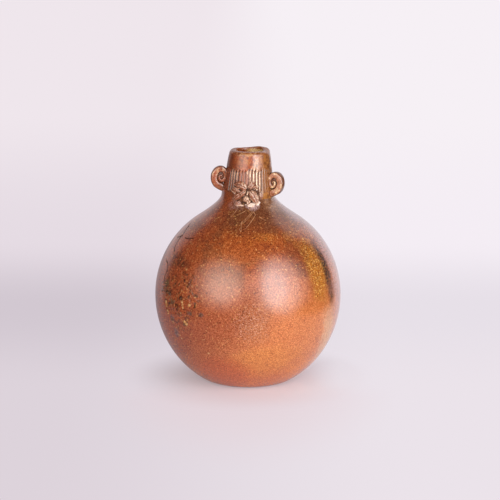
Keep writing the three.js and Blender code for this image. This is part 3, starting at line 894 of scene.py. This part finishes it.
# painted shade: the edges of the strap are darkened
lug_base = (lug_rim_shade * 0.85).blend(lug_base, LUG_EDGE_SHADE)
lug_relief = lug_spot.grain(320, 3, 0.6) * 0.8 + lug_spot.grain(1100, 2, 0.5) * 0.3
dress(lug_shader, lug_base, 0.10 + lug_cloud * 0.12, lug_relief, 0.2 * MM, 0.3)
lug_shader.inputs["Specular IOR Level"].default_value = 1.0

web_finish, web_shader, web_spot = fired("roll_filling")
web_base = web_spot.grain(200, 4, 0.6).ease(0.4, 0.65).blend(FILLING_DARK, FILLING_BROWN)
web_base = speckled(web_base, web_spot, 0.5)
dress(web_shader, web_base, 0.35 + web_spot.grain(300) * 0.15, web_spot.grain(700, 3, 0.6), 0.2 * MM, 0.5)

for lug_name, lug_azimuth, lug_rise in LUGS:
    lug = rolled_strap(lug_name + "_rolled")
    turn = math.radians(lug_azimuth)
    eye = outer_radius(NECK_FOOT + lug_rise) + EYE_OFFSET
    lug_turn = (math.pi / 2, 0, turn - math.pi / 2)
    lug_eye = (eye * math.sin(turn), -eye * math.cos(turn), NECK_FOOT + lug_rise)
    lug.rotation_euler = lug_turn
    lug.location = lug_eye
    pick(lug)
    set_in_place()
    roughen(lug, lug_name + "_waver", "CLOUDS", 6 * MM, 0.5 * MM)
    lean(lug)
    bpy.ops.object.shade_smooth()
    settle(lug, lug_finish, "lug_clay", lug_name)

    # A thumb of softer clay is pressed into the roll, so that it is closed behind its grooves.
    bpy.ops.object.select_all(action="DESELECT")
    bpy.ops.mesh.primitive_uv_sphere_add(segments=32, ring_count=16, radius=1)
    web = bpy.context.object
    web.name = lug_name + "_filling"
    web.scale = (WEB_REACH * SCROLL_SQUEEZE, WEB_REACH, WEB_THICKNESS / 2)
    set_in_place()
    web.rotation_euler = lug_turn
    web.location = lug_eye
    set_in_place()
    roughen(web, lug_name + "_thumbed", "CLOUDS", 3 * MM, 0.6 * MM)
    lean(web)
    bpy.ops.object.shade_smooth()
    settle(web, web_finish, "lug_clay")


# THE SPRAY
# Leaves, a bud and twigs modelled from pinches of softer clay, pressed on overlapping at the front foot of
# the neck and smeared at their stalks. Each leaf has a grooved midrib and fine side veins drawn with a
# point.

LEAF_EDGE = 0.7 * MM
LEAF_TIP = 0.6 * MM
MIDRIB = 0.75 * MM
VEIN = 0.3 * MM
WALL_STEP = 0.25 * MM
PROUDEST = 3.5 * MM  # how far off the wall counts as fully proud

wall_heights = [BASE_EDGE + WALL_STEP * i for i in range(int((MOUTH - BASE_EDGE) / WALL_STEP))]
wall_line = [Vector((outer_radius(z), z)) for z in wall_heights]
wall_rises = [0.0]
for low, high in zip(wall_line, wall_line[1:]):
    wall_rises.append(wall_rises[-1] + (high - low).length)
foot_rise = wall_rises[min(range(len(wall_heights)), key=lambda i: abs(wall_heights[i] - NECK_FOOT))]
wall_rises = [rise - foot_rise for rise in wall_rises]


def wall_at(rise):
    """Radius and height on the outside, at a distance along it from the neck's foot."""
    i = min(max(bisect.bisect(wall_rises, rise), 1), len(wall_rises) - 1)
    share = (rise - wall_rises[i - 1]) / (wall_rises[i] - wall_rises[i - 1])
    return wall_line[i - 1].lerp(wall_line[i], share)


def press_on(piece, azimuth, rise):
    """Lays a piece that is modelled flat, with Y up the wall and Z off it, on the bottle's outside."""
    for vertex in piece.data.vertices:
        sideways, upward, off = vertex.co
        spot = wall_at(rise + upward)
        along = (wall_at(rise + upward + 0.5 * MM) - wall_at(rise + upward - 0.5 * MM)).normalized()
        radius = spot.x + off * along.y
        turn = math.radians(azimuth) + sideways / spot.x
        vertex.co = (radius * math.sin(turn), -radius * math.cos(turn), spot.y - off * along.x)
    lean(piece)


def finish_flat(piece, azimuth, rise, heading):
    """Turns a flat piece to its heading, which goes from straight up towards the right, and presses it on."""
    pick(piece)
    piece.rotation_euler = (0, 0, math.radians(90 - heading))
    set_in_place()
    weigh(piece, "proud", lambda place: place.z / PROUDEST)
    press_on(piece, azimuth, rise)
    bpy.ops.object.shade_smooth()


def model_leaf(name, length, width, thickness, bend, curl):
    """A leaf lying along X: a grid narrowed row by row, domed, grooved, and given its underside."""
    leaf = add_grid(name, 30, 16)
    for vertex in leaf.data.vertices:
        share, across = vertex.co.x + 0.5, vertex.co.y * 2
        swell = max(0, 4 * share**0.85 * (1 - share**0.85)) ** 0.62
        half_width = LEAF_TIP / 2 + (1.2 * width - LEAF_TIP) / 2 * swell
        groove = MIDRIB * swell**0.5 * max(0, 1 - abs(across) * 3.2)
        vein_wave = math.cos(2 * math.pi * (share * 4.5 - abs(across) * 0.8))
        veined = soft_step(0.15, 0.4, abs(across)) * soft_step(1, 0.8, abs(across))
        groove += VEIN * swell * max(0, vein_wave) ** 3 * veined
        dome = LEAF_EDGE + (1.25 * thickness - LEAF_EDGE) * swell * (1 - abs(across) ** 2.4)
        vertex.co.x = share * length
        vertex.co.y = across * half_width + bend * math.sin(math.pi * share)
        vertex.co.z = dome - groove + curl * share**3
    apply_modifier(leaf, "SOLIDIFY", thickness=1.3 * MM, offset=-1)
    apply_modifier(leaf, "SUBSURF", levels=1, render_levels=1)
    roughen(leaf, name + "_pinched", "CLOUDS", 2.2 * MM, 0.7 * MM, noise_depth=1)
    return leaf


SPRAY_CLAY = colour(152, 92, 66)
SPRAY_DULL = colour(150, 86, 56)
SPRAY_PALE_ASH_AND_HIGHLIGHT = colour(244, 210, 174)
SPRAY_WARM = colour(140, 70, 40)
SPRAY_SHADE = colour(66, 32, 16)
ASH_AND_LIGHT_FROM = (0.62, -0.42, 0.66)  # the direction the ash blew from and the lamp light falls from
spray_finish, spray_shader, spray_spot = fired("spray_gloss")
spray_cloud = spray_spot.grain(200, 4, 0.6)
surface = spray_finish.node_tree.nodes.new("ShaderNodeNewGeometry")
worn_edges_and_crease_shade = Shade(surface.outputs["Pointiness"])
facing = Shade(surface.outputs["Normal"])
ash_and_light_fall = facing.node("ShaderNodeVectorMath", {"operation": "DOT_PRODUCT"}, {0: facing, 1: ASH_AND_LIGHT_FROM}, 1)
proud_of_wall = spray_spot.own("proud_share")
spray_base = spray_cloud.ease(0.42, 0.66).blend(SPRAY_CLAY, SPRAY_DULL)
# painted highlight, in part: faces turned to the right and up are paled
spray_base = (ash_and_light_fall.ease(0.66, 0.94) * spray_cloud.ease(0.60, 0.44) * 0.68).blend(spray_base, SPRAY_PALE_ASH_AND_HIGHLIGHT)
spray_base = (worn_edges_and_crease_shade.ease(0.505, 0.540) * 0.55).blend(spray_base, SPRAY_PALE_ASH_AND_HIGHLIGHT)
spray_left = spray_spot.parts()[0].ease(0.000, -0.008)
spray_base = (spray_left * 0.55).blend(spray_base, SPRAY_WARM)
spray_base = speckled(spray_base, spray_spot, 0.3)
# painted shade: the leaves darken where they meet the wall
spray_base = (proud_of_wall.ease(0.46, 0.14) * 0.8).blend(spray_base, SPRAY_SHADE)
# painted shade: creases between and within the leaves are darkened
spray_base = (worn_edges_and_crease_shade.ease(0.498, 0.466) * 0.95).blend(spray_base, SPRAY_SHADE)
spray_relief = spray_spot.grain(520, 3, 0.6) * 0.8 + spray_spot.grain(1200, 2, 0.5) * 0.4
dress(spray_shader, spray_base, 0.08 + spray_cloud * 0.10, spray_relief, 0.2 * MM, 0.35)
spray_shader.inputs["Specular IOR Level"].default_value = 1.0


def puddle(name, columns, rows, half_width, half_height, top, steepness, waves):
    """A flat drop of slip or ash: a grid pulled round, with a wavy edge and a thickness."""
    drop = add_grid(name, columns, rows)
    for vertex in drop.data.vertices:
        out = min(1, 2 * max(abs(vertex.co.x), abs(vertex.co.y)))
        ring = math.atan2(vertex.co.y, vertex.co.x)
        edge = out * (1 + sum(depth * math.sin(count * ring + start) for depth, count, start in waves))
        rise = top * (1 - out**steepness) - 0.15 * MM
        vertex.co = (half_width * edge * math.cos(ring), half_height * edge * math.sin(ring), rise)
    apply_modifier(drop, "SOLIDIFY", thickness=0.6 * MM, offset=-1)
    return drop


# A dark pad smeared like slip is the bed that the leaves are pressed into; its dark colour is painted shade
# under and between them.
SHADE_BED_DARK = colour(58, 28, 12)
SHADE_BED_BROWN = colour(110, 60, 30)
BED_WAVES = ((0.09, 3, 1), (0.06, 7, 0), (0.03, 13, 2))  # depth, number round the edge, start
shade_bed = puddle("shade_bed", 60, 56, 12 * MM, 10.6 * MM, 0.4 * MM, 4, BED_WAVES)
roughen(shade_bed, "shade_bed_smears", "CLOUDS", 2.5 * MM, 0.35 * MM)
finish_flat(shade_bed, -3.5, 3.6 * MM, 90)
shade_bed_finish, shade_bed_shader, shade_bed_spot = fired("painted_shade_slip")
shade_bed_cloud = shade_bed_spot.grain(300, 4, 0.6)
# painted shade: the pad is coloured dark brown
shade_bed_base = speckled(shade_bed_cloud.ease(0.38, 0.66).blend(SHADE_BED_DARK, SHADE_BED_BROWN), shade_bed_spot, 0.5)
dress(shade_bed_shader, shade_bed_base, 0.5 + shade_bed_cloud * 0.2, shade_bed_spot.grain(700, 3, 0.6), 0.25 * MM, 0.4)
shade_bed_shader.inputs["Specular IOR Level"].default_value = 0.3
settle(shade_bed, shade_bed_finish, "spray_clay")

# Melted ash has run down over the leaves and set in glassy pools on the collar below them; their pale colour
# is a painted highlight.
POOL_HIGHLIGHT = colour(240, 218, 204)
POOL_TAN = colour(196, 140, 104)
POOLS = (  # name, azimuth, rise, width, height
    ("ash_pool_front", 5.5, -6.3, 9.5, 4.6),
    ("ash_pool_right", 19, -4.2, 6.5, 5.2),
    ("ash_pool_left", -16, -6.6, 9, 2.6),
)
pool_finish, pool_shader, pool_spot = fired("glassy_ash_highlight")
pool_cloud = pool_spot.grain(260, 4, 0.6)
# painted highlight: the pools are coloured pale where light shines on the collar
pool_base = pool_cloud.ease(0.40, 0.66).blend(POOL_HIGHLIGHT, POOL_TAN)
dress(pool_shader, pool_base, 0.06 + pool_cloud * 0.1, pool_spot.grain(500, 3, 0.6), 0.2 * MM, 0.3)
pool_shader.inputs["Specular IOR Level"].default_value = 1.0
for name, azimuth, rise, wide, tall in POOLS:
    pool_waves = ((0.16, 3, azimuth), (0.10, 5, rise), (0.06, 9, 0))
    pool = puddle(name, 32, 24, wide / 2 * MM, tall / 2 * MM, 0.9 * MM, 3, pool_waves)
    roughen(pool, name + "_set", "CLOUDS", 2.0 * MM, 0.5 * MM)
    finish_flat(pool, azimuth, rise * MM, 90)
    settle(pool, pool_finish, "spray_clay")


def lay_leaf(name, nodes, azimuth, rise, heading, *sizes):
    """Models a leaf and presses it on."""
    leaf = model_leaf(name, *[size * MM for size in sizes])
    finish_flat(leaf, azimuth, rise * MM, heading)
    settle(leaf, spray_finish, "spray_clay", *nodes)


# name, azimuth, rise, heading, length, width, thickness, bend, curl
LEAVES = (
    ("leaf_upper_left", -3.5, 9.2, -70, 14.5, 6.6, 2.6, -2.0, -0.3),
    ("leaf_upper_right", 1, 10, 22, 8.4, 5.6, 2.2, -0.8, 0.5),
    ("leaf_long_right", 3.6, 8.2, 152, 15.6, 6.8, 2.8, 0.8, 0.6),
    ("leaf_small_right", 28, 7, 180, 8, 4.2, 1.6, 0.4, 0.1),
    ("leaf_left", -11.5, 5.2, -126, 11.2, 5.6, 2.4, -0.7, 0.3),
    ("leaf_lower_left", -14.5, -2.6, -126, 8.2, 4, 1.8, 0.4, 0.1),
)
for name, *laid in LEAVES:
    lay_leaf(name + "_pressed", [name], *laid)

# Smaller leaves are tucked in between the larger ones.
TUCKED = (
    ("leaf_tucked_left", -19, 9.4, -98, 8.5, 4.6, 1.9, 0.5, 0.1),
    ("leaf_tucked_middle", -6.5, 8.6, -143, 9, 4.6, 2.9, -0.4, 0.2),
    ("leaf_tucked_right", 10, 9.6, 62, 6.2, 3.4, 1.7, 0.3, 0.1),
    ("leaf_tucked_low", 2, -0.5, 196, 6.4, 3.6, 1.7, 0.3, 0.1),
)
for name, *laid in TUCKED:
    lay_leaf(name, [], *laid)

# The bud is a ball with three furrows drawn from its eye.
bpy.ops.object.select_all(action="DESELECT")
bpy.ops.mesh.primitive_uv_sphere_add(segments=40, ring_count=20, radius=3.2 * MM)
bud = bpy.context.object
bud.name = "bud_pressed"
for vertex in bud.data.vertices:
    out = math.hypot(vertex.co.x, vertex.co.y)
    ring = math.atan2(vertex.co.y, vertex.co.x)
    furrow = max(0, math.cos(3 * ring)) ** 8 * soft_step(0.5 * MM, 1.6 * MM, out) * 0.12
    dimple = 0.7 * MM * math.exp(-((out / (0.8 * MM)) ** 2)) if vertex.co.z > 0 else 0
    kept = 1 - furrow
    vertex.co = (vertex.co.x * kept, vertex.co.y * kept, vertex.co.z * 0.9 * kept + 0.4 * MM - dimple)
finish_flat(bud, -4.2, -0.3 * MM, 20)
settle(bud, spray_finish, "spray_clay", "bud")


def draw_on(name, route, widths, proud, sunk):
    """A thin roll of clay or slip, flattened and laid on the wall along a route of azimuths and heights."""
    middle = route[len(route) // 2]
    flat = []
    for azimuth, height in route:
        i = min(range(len(wall_heights)), key=lambda k: abs(wall_heights[k] - height * MM))
        flat.append((math.radians(azimuth - middle[0]) * wall_line[i].x, wall_rises[i], 0))
    path = bpy.data.curves.new(name, "CURVE")
    path.dimensions = "3D"
    path.bevel_depth = 1.0
    path.bevel_resolution = 2
    path.use_fill_caps = True
    spline = path.splines.new("POLY")
    spline.points.add(len(flat) - 1)
    for i, (point, place) in enumerate(zip(spline.points, flat)):
        point.co = (*place, 1)
        share = i / (len(flat) - 1) * (len(widths) - 1)
        low = min(int(share), len(widths) - 2)
        point.radius = (widths[low] + (widths[low + 1] - widths[low]) * (share - low)) * MM / 2
    piece = bpy.data.objects.new(name, path)
    bpy.context.collection.objects.link(piece)
    pick(piece)
    bpy.ops.object.convert(target="MESH")
    piece = bpy.context.object
    tallest = max(vertex.co.z for vertex in piece.data.vertices)
    for vertex in piece.data.vertices:
        vertex.co.z *= (proud if vertex.co.z > 0 else sunk) * MM / tallest
    close_up(0.001 * MM)
    weigh(piece, "proud", lambda place: place.z / PROUDEST)
    press_on(piece, middle[0], 0)
    bpy.ops.object.shade_smooth()
    return piece


def wander(route, steps, stray, seed):
    """The route with points between its own, strayed a little as a hand or a crack does."""
    dice = random.Random(seed)
    walked = []
    for (a0, z0), (a1, z1) in zip(route, route[1:]):
        for i in range(steps):
            t = i / steps
            azimuth = a0 + (a1 - a0) * t + dice.uniform(-stray, stray)
            height = z0 + (z1 - z0) * t + dice.uniform(-stray, stray)
            walked.append((azimuth, height))
    return walked + [route[-1]]


def by_rise(azimuths, rises):
    """A route of azimuths and heights from azimuths and distances up the wall from the neck's foot."""
    return [(azimuth, wall_at(rise * MM).y / MM) for azimuth, rise in zip(azimuths, rises)]


left_route = wander(by_rise((-44, -35, -26, -17), (7.4, 7.2, 6.6, 7.2)), 4, 0.12, 3)
twig = draw_on("twig_left_rolled", left_route, (1.0, 1.5, 1.7), 1.5, 0.5)
settle(twig, spray_finish, "spray_clay", "twig_left")
centre_route = wander(by_rise((-0.6, -1.4, -2.4), (7.6, 5.8, 3.8)), 4, 0.05, 4)
twig = draw_on("twig_centre_rolled", centre_route, (1.8, 1.6, 1.6), 2.6, 0.5)
settle(twig, spray_finish, "spray_clay", "twig_centre")

# Thin torn strips of the same clay cross between the leaves on the left.
STRIPS = (  # azimuths and rises
    ((-42, -35, -27.3), (8.5, 6.8, 4.4)),
    ((-34, -27, -21.3), (11.6, 9.8, 7.0)),
    ((-18, -24, -31), (11.8, 8.8, 5.0)),
)
for number, (azimuths, rises) in enumerate(STRIPS):
    torn_route = wander(by_rise(azimuths, rises), 4, 0.12, 50 + number)
    strip = draw_on(f"torn_strip_{number}", torn_route, (0.8, 1.5, 1.1), 2.4, 0.5)
    settle(strip, spray_finish, "spray_clay")


# THE SCRATCHED LINES, CRACKS AND CRUMBS
# Pale lines scratched through the ash on the front shoulder, a few dark cracks of the crawled glaze on the
# left, and crumbs of melted ash that fell on the wall in the kiln and stuck there.

SCRATCH_PALE = colour(200, 148, 100)
SCRATCH_TAN = colour(152, 98, 58)
SCRATCH_WIDTHS = (0.3, 0.55, 0.45, 0.25)
SCRATCHES = (  # azimuths and heights
    ((8.4, 176.0), (3, 172.4), (-7.3, 166.2)),
    ((6.2, 176.2), (1, 172.8), (-9.0, 166.6)),
    ((11.2, 173.6), (4, 168.3), (-3.3, 162.4)),
    ((-3.1, 177.3), (-9, 175.2), (-14.7, 173.7)),
    ((8.2, 176.2), (9.8, 175.0), (11.4, 173.8)),
    ((-7.6, 168.2), (-7.4, 165.0), (-6.6, 160.5)),
    ((-9.0, 163.0), (-7.9, 161.6), (-6.8, 160.6)),
    ((-17.5, 178.5), (-21, 175), (-24, 171.5)),
    ((15.5, 172.0), (19, 170.5), (23, 168.5)),
)
scratch_finish, scratch_shader, scratch_spot = fired("scratched_ash")
scratch_base = scratch_spot.grain(300, 3, 0.6).ease(0.4, 0.6).blend(SCRATCH_PALE, SCRATCH_TAN)
scratch_shine = 0.4 + scratch_spot.grain(500) * 0.1
dress(scratch_shader, scratch_base, scratch_shine, scratch_spot.grain(900), 0.1 * MM, 0.5)
for number, route in enumerate(SCRATCHES):
    scratch = draw_on(f"scratch_{number}", wander(route, 6, 0.08, number), SCRATCH_WIDTHS, 0.14, 0.3)
    settle(scratch, scratch_finish, "shoulder_clay")

CRACK_BLACK = colour(24, 12, 6)
CRACK_BROWN = colour(60, 30, 16)
CRACK_WIDTHS = (0.3, 1.4, 0.6, 1.4, 0.7, 1.2, 0.3)
CRACKS = (
    ((-84, 161), (-76, 157), (-72, 152), (-71.7, 147), (-71, 142), (-68, 137), (-64, 133)),
    ((-69, 150), (-74, 148.5), (-80, 146)),
    ((-65, 149), (-56, 150), (-51, 151.5)),
    ((-75, 127), (-67, 123.5), (-65, 118), (-66, 112), (-65, 105)),
)
crack_finish, crack_shader, crack_spot = fired("crawled_crack")
crack_base = crack_spot.grain(400, 3, 0.6).ease(0.4, 0.6).blend(CRACK_BLACK, CRACK_BROWN)
crack_shine = 0.55 + crack_spot.grain(500) * 0.1
dress(crack_shader, crack_base, crack_shine, crack_spot.grain(900), 0.1 * MM, 0.5)
crack_shader.inputs["Specular IOR Level"].default_value = 0.0
for number, route in enumerate(CRACKS):
    crack = draw_on(f"crack_{number}", wander(route, 5, 0.35, 20 + number), CRACK_WIDTHS, 0.12, 0.3)
    settle(crack, crack_finish, "shoulder_clay")

PALE_CRUMBS = (  # azimuth, height, size
    (-27, 44, 1.7), (-28, 58.5, 1.2), (-19.5, 69, 0.8), (-15, 62, 0.9), (-14, 60, 0.8), (-39.5, 76, 1.3),
    (-45, 62, 0.9), (-37, 100, 1.5), (-42, 96, 1.2), (-18, 57, 0.8), (-59.4, 89.4, 2.6), (-59, 87, 3.2),
    (-58.8, 84.4, 2.6), (-57.6, 80, 2.6), (-57.2, 77.6, 2.2), (-43.4, 93, 2.4), (-43, 90.6, 3.0),
    (-42.6, 88, 2.4), (-37.4, 91.7, 3.0), (-41.6, 74, 3.8), (-40.4, 72, 3.4), (-50, 88, 1.6), (-48, 58, 1.6),
    (-47, 55, 1.3), (-44.5, 104, 1.4), (-47.5, 108, 1.2),
)
CHARRED_CRUMBS = (
    (-58, 98, 2.6), (-61, 99.5, 2.4), (-55, 97.5, 2.2), (-64, 101, 2.4), (-52.8, 90.5, 3.0),
    (-55.5, 91.5, 2.4), (-50.5, 92, 2.0), (-33.2, 94.2, 1.8), (-36.3, 83, 2.4), (-38.6, 84.4, 2.0),
    (-28.6, 83.9, 2.6), (-30, 82.6, 1.8), (-53.5, 73, 2.6), (-42.8, 70.6, 2.2), (-64, 106, 2.2),
    (-63, 110, 1.8), (-66, 97, 2.2), (-44.5, 96.5, 1.8),
    (-46.5, 86, 1.6), (-49, 67, 1.8), (-24, 96, 1.0), (-20, 101, 0.9),
)
PALE_DUST = (40, (-42, 13), (84, 20), (0.4, 0.9))  # number, middle and spread of azimuth and height, sizes
CHARRED_DUST = (26, (-48, 11), (92, 15), (0.5, 1.2))
CRUMBS = (  # piece, finish, light tone, dark tone, single crumbs, the smaller ones among them
    ("pale_crumbs", "pale_ash", colour(208, 160, 106), colour(160, 104, 58), PALE_CRUMBS, PALE_DUST),
    ("charred_crumbs", "charred_ash", colour(92, 58, 40), colour(128, 82, 54), CHARRED_CRUMBS, CHARRED_DUST),
)
CRUMB_AZIMUTH = -44
CRUMB_SHAPE = ((0.8, 1.5), (0.6, 1.0), (0.35, 0.6))  # limits of its length, width and height


def scatter(name, crumbs, finish, seed):
    """Flattened lumps at azimuths and heights with their sizes, all in one mesh pressed on the wall."""
    dice = random.Random(seed)
    bpy.ops.object.select_all(action="DESELECT")
    bpy.ops.mesh.primitive_ico_sphere_add(subdivisions=1, radius=1)
    pile = bpy.context.object
    pile.name = name
    bpy.ops.object.mode_set(mode="EDIT")
    bpy.ops.mesh.select_all(action="SELECT")
    bpy.ops.mesh.delete(type="VERT")
    for azimuth, height, size in crumbs:
        i = min(bisect.bisect(wall_heights, height * MM), len(wall_heights) - 1)
        place = (math.radians(azimuth - CRUMB_AZIMUTH) * wall_line[i].x, wall_rises[i], 0)
        half = size * MM / 2
        turn = dice.uniform(0, 3.1)
        spread = [half * dice.uniform(*limits) for limits in CRUMB_SHAPE]
        bpy.ops.mesh.primitive_ico_sphere_add(
            subdivisions=2 if size > 1.0 else 1, radius=1, location=place, rotation=(0, 0, turn), scale=spread
        )
    bpy.ops.object.mode_set(mode="OBJECT")
    press_on(pile, CRUMB_AZIMUTH, 0)
    roughen(pile, name + "_lumps", "CLOUDS", 0.8 * MM, 0.35 * MM)
    bpy.ops.object.shade_smooth()
    settle(pile, finish, "bowl_clay")


dice = random.Random(31)
for seed, (name, finish_name, light, dark, single, dust) in enumerate(CRUMBS, 1):
    finish, shader, crumb_spot = fired(finish_name)
    crumb_base = crumb_spot.grain(500, 3, 0.6).ease(0.4, 0.62).blend(light, dark)
    crumb_shine = 0.5 + crumb_spot.grain(400) * 0.2
    dress(shader, crumb_base, crumb_shine, crumb_spot.grain(1100, 2, 0.6), 0.15 * MM, 0.6)
    shader.inputs["Specular IOR Level"].default_value = 0.3
    crumbs = list(single)
    count, azimuths, heights, limits = dust
    for _ in range(count):
        crumbs.append((dice.gauss(*azimuths), dice.gauss(*heights), dice.uniform(*limits)))
    scatter(name, crumbs, finish, seed)


# THE STUDIO
# A pale sweep of paper under and behind the bottle, a soft lamp in front of it on each side, and the camera
# straight in front, a little above the belly. The room beside the paper is dark.

SWEEP = 14.0
DARK_ROOM = colour(84, 78, 80)
ROSY_BOUNCE = colour(229, 201, 204)
# painted shade: the left paper and the dip behind the bottle are darker
LEFT_PAPER = (colour(229, 219, 227), colour(239, 230, 236), colour(210, 200, 209), colour(221, 211, 219))
RIGHT_PAPER = (colour(244, 237, 244), colour(246, 240, 245), colour(231, 224, 232), colour(235, 227, 234))

sweep = add_grid("sweep", 8, 8, SWEEP)
paper, paper_shader, floor_spot = fired("pale_paper")
paper_nodes = paper.node_tree.nodes
join = paper.node_tree.links.new
floor_x, floor_y, _ = floor_spot.parts()


def paper_tone(middle, far, dip, near):
    """The paper's colour from the far end, over the dip behind the bottle, to the camera; the darker dip is
    painted shade.
    """
    tone = floor_y.ease(0.55, 2.0).blend(middle, far)
    tone = floor_y.ease(0.68, 0.30).blend(tone, dip)
    return floor_y.ease(0.27, -0.06).blend(tone, near)


rays = paper_nodes.new("ShaderNodeLightPath").outputs
looked_at = Shade(rays["Is Camera Ray"])
mirrored = Shade(rays["Is Glossy Ray"])
tone = floor_x.ease(-0.20, 0.16).blend(paper_tone(*LEFT_PAPER), paper_tone(*RIGHT_PAPER))
paper_width = floor_y.maths("MAXIMUM", floor_y * 0.9 + 0.08, floor_y * 0.14 + 0.30)
beside = (floor_x.maths("ABSOLUTE", floor_x) - paper_width).ease(0.0, 0.06)
tone = (beside * (1 - looked_at)).blend(tone, DARK_ROOM)
# painted light: a rosy tint on the paper in front of the bottle stands for light bounced off its glaze
painted_bounce = ((floor_x * 1.5) ** 2.0 + (floor_y * 0.75) ** 2.0) ** 0.5
painted_bounce = painted_bounce.ease(0.24, 0.06, 0, 0.42) * floor_y.ease(-0.02, -0.09)
tone = painted_bounce.blend(tone, ROSY_BOUNCE)
join(tone.socket, paper_shader.inputs["Base Color"])
paper_shader.inputs["Roughness"].default_value = 0.9
paper_shader.inputs["Specular IOR Level"].default_value = 0.0

# Away from the bottle the paper shows its colour as it is. In the glaze it is dark in front and on the left.
seen = mirrored.maths("MAXIMUM", looked_at, mirrored)
seen = seen.maths("MAXIMUM", seen, Shade(rays["Is Transmission Ray"]))
spread = (floor_x * floor_x + floor_y * floor_y) ** 0.5
away = spread.ease(0.05, 0.13, 0.34, 1.0)
away = away.maths("MAXIMUM", away, floor_x.ease(0.03, 0.10) * 0.9)
under_lamp = ((floor_x - 0.5) ** 2.0 + (floor_y + 0.55) ** 2.0) ** 0.5
shown = (mirrored * floor_y.ease(0.05, -0.5) * under_lamp.ease(0.2, 0.7)).blend(tone, DARK_ROOM)
shown = (mirrored * floor_x.ease(0.02, -0.08) * 0.50).blend(shown, DARK_ROOM)
glow = paper_nodes.new("ShaderNodeEmission")
join(shown.socket, glow.inputs["Color"])
mixed = paper_nodes.new("ShaderNodeMixShader")
join((seen * away).socket, mixed.inputs["Fac"])
join(paper_shader.outputs["BSDF"], mixed.inputs[1])
join(glow.outputs["Emission"], mixed.inputs[2])

# Beside the view the floor is open to mirrored and shadow rays.
cut_away = paper_nodes.new("ShaderNodeMixShader")
open_air = paper_nodes.new("ShaderNodeBsdfTransparent")
passing = mirrored.maths("MAXIMUM", mirrored, Shade(rays["Is Shadow Ray"]))
join((beside * passing).socket, cut_away.inputs["Fac"])
join(mixed.outputs["Shader"], cut_away.inputs[1])
join(open_air.outputs["BSDF"], cut_away.inputs[2])
join(cut_away.outputs["Shader"], paper_nodes["Material Output"].inputs["Surface"])
sweep.data.materials.append(paper)

# The wall of paper behind, seen by the camera, ends at the sides and at the top for all other rays.
WALL_LEFT = colour(224, 202, 202)
WALL_RIGHT = colour(252, 246, 250)
world = bpy.data.worlds.new("studio")
bpy.context.scene.world = world
world.use_nodes = True
world_tree = world.node_tree
direction = Shade(world_tree.nodes.new("ShaderNodeTexCoord").outputs["Generated"])
to_side, to_back, upward = direction.parts()
rightward = to_side.maths("MAXIMUM", to_side, 0.0)
paper_left = (to_back * 1.3 + to_side) * 0.3
paper_right = to_back * 1.03 + upward.maths("MAXIMUM", upward - 0.2, 0.0) * 0.6 - to_side
paper_top = to_back * to_side.ease(-0.25, 0.1, 1.0, 1.35) + rightward * 0.63 - upward
paper_edge = to_back.maths("MINIMUM", paper_left, to_back.maths("MINIMUM", paper_right, paper_top))
wall = to_side.ease(-0.6, 0.6).blend(WALL_LEFT, WALL_RIGHT)
room = paper_edge.ease(-0.04, 0.04).blend(DARK_ROOM, wall)
room = Shade(world_tree.nodes.new("ShaderNodeLightPath").outputs["Is Camera Ray"]).blend(room, wall)
backdrop = world_tree.nodes["Background"]
world_tree.links.new(room.socket, backdrop.inputs["Color"])
backdrop.inputs["Strength"].default_value = 1.0

LAMP_AIM = Vector((0, 0, 0.1))  # the middle of the bottle


def soft_lamp(name, azimuth, elevation, distance, width, tall, power, tint):
    """An area lamp on its stand, turned to the middle of the bottle."""
    a, e = math.radians(azimuth), math.radians(elevation)
    stand = LAMP_AIM + distance * Vector((math.sin(a) * math.cos(e), -math.cos(a) * math.cos(e), math.sin(e)))
    facing_down = (LAMP_AIM - stand).to_track_quat("-Z", "Y").to_euler()
    bpy.ops.object.light_add(type="AREA", location=stand, rotation=facing_down)
    lamp = bpy.context.object
    lamp.name = name
    lamp.data.shape = "ELLIPSE"
    lamp.data.size = width
    lamp.data.size_y = tall
    lamp.data.energy = power
    lamp.data.color = tint


# The cloth of each lamp is brightest in the lower middle and fades to its rim.
WARM_CLOTH = (1, 0.96, 0.86)
WHITE_CLOTH = (1, 1, 1)
LAMPS = (  # name, azimuth, elevation, distance, width, height, power, tint
    ("soft_lamp_left", -34, 20, 1.20, 1.85, 1.36, 5.1, WARM_CLOTH),
    ("soft_lamp_left_middle", -32, 21, 1.19, 1.12, 1.02, 3.6, WARM_CLOTH),
    ("soft_lamp_left_core", -31, 17, 1.18, 0.74, 0.60, 1.35, WARM_CLOTH),
    ("soft_lamp_right", 42, 17.5, 1.20, 1.85, 1.60, 7.7, WHITE_CLOTH),
    ("soft_lamp_right_middle", 41, 17, 1.19, 1.10, 1.42, 6.6, WHITE_CLOTH),
    ("soft_lamp_right_core", 34.5, 16, 1.18, 0.64, 0.92, 3.6, WHITE_CLOTH),
)
for lamp_row in LAMPS:
    soft_lamp(*lamp_row)

CAMERA_DISTANCE = 1.8
CAMERA_ELEVATION = math.radians(12)
CAMERA_AIM = Vector((2.06, 0, 130.5)) * MM
SENSOR_WIDTH = 36  # mm of film, as the lens
LENS = 129.6
camera_back = Vector((0, -math.cos(CAMERA_ELEVATION), math.sin(CAMERA_ELEVATION)))
bpy.ops.object.camera_add(
    location=CAMERA_AIM + CAMERA_DISTANCE * camera_back, rotation=(math.pi / 2 - CAMERA_ELEVATION, 0, 0)
)
camera = bpy.context.object
camera.data.sensor_width = SENSOR_WIDTH
camera.data.lens = LENS
bpy.context.scene.camera = camera
bpy.context.scene.view_settings.view_transform = "Standard"
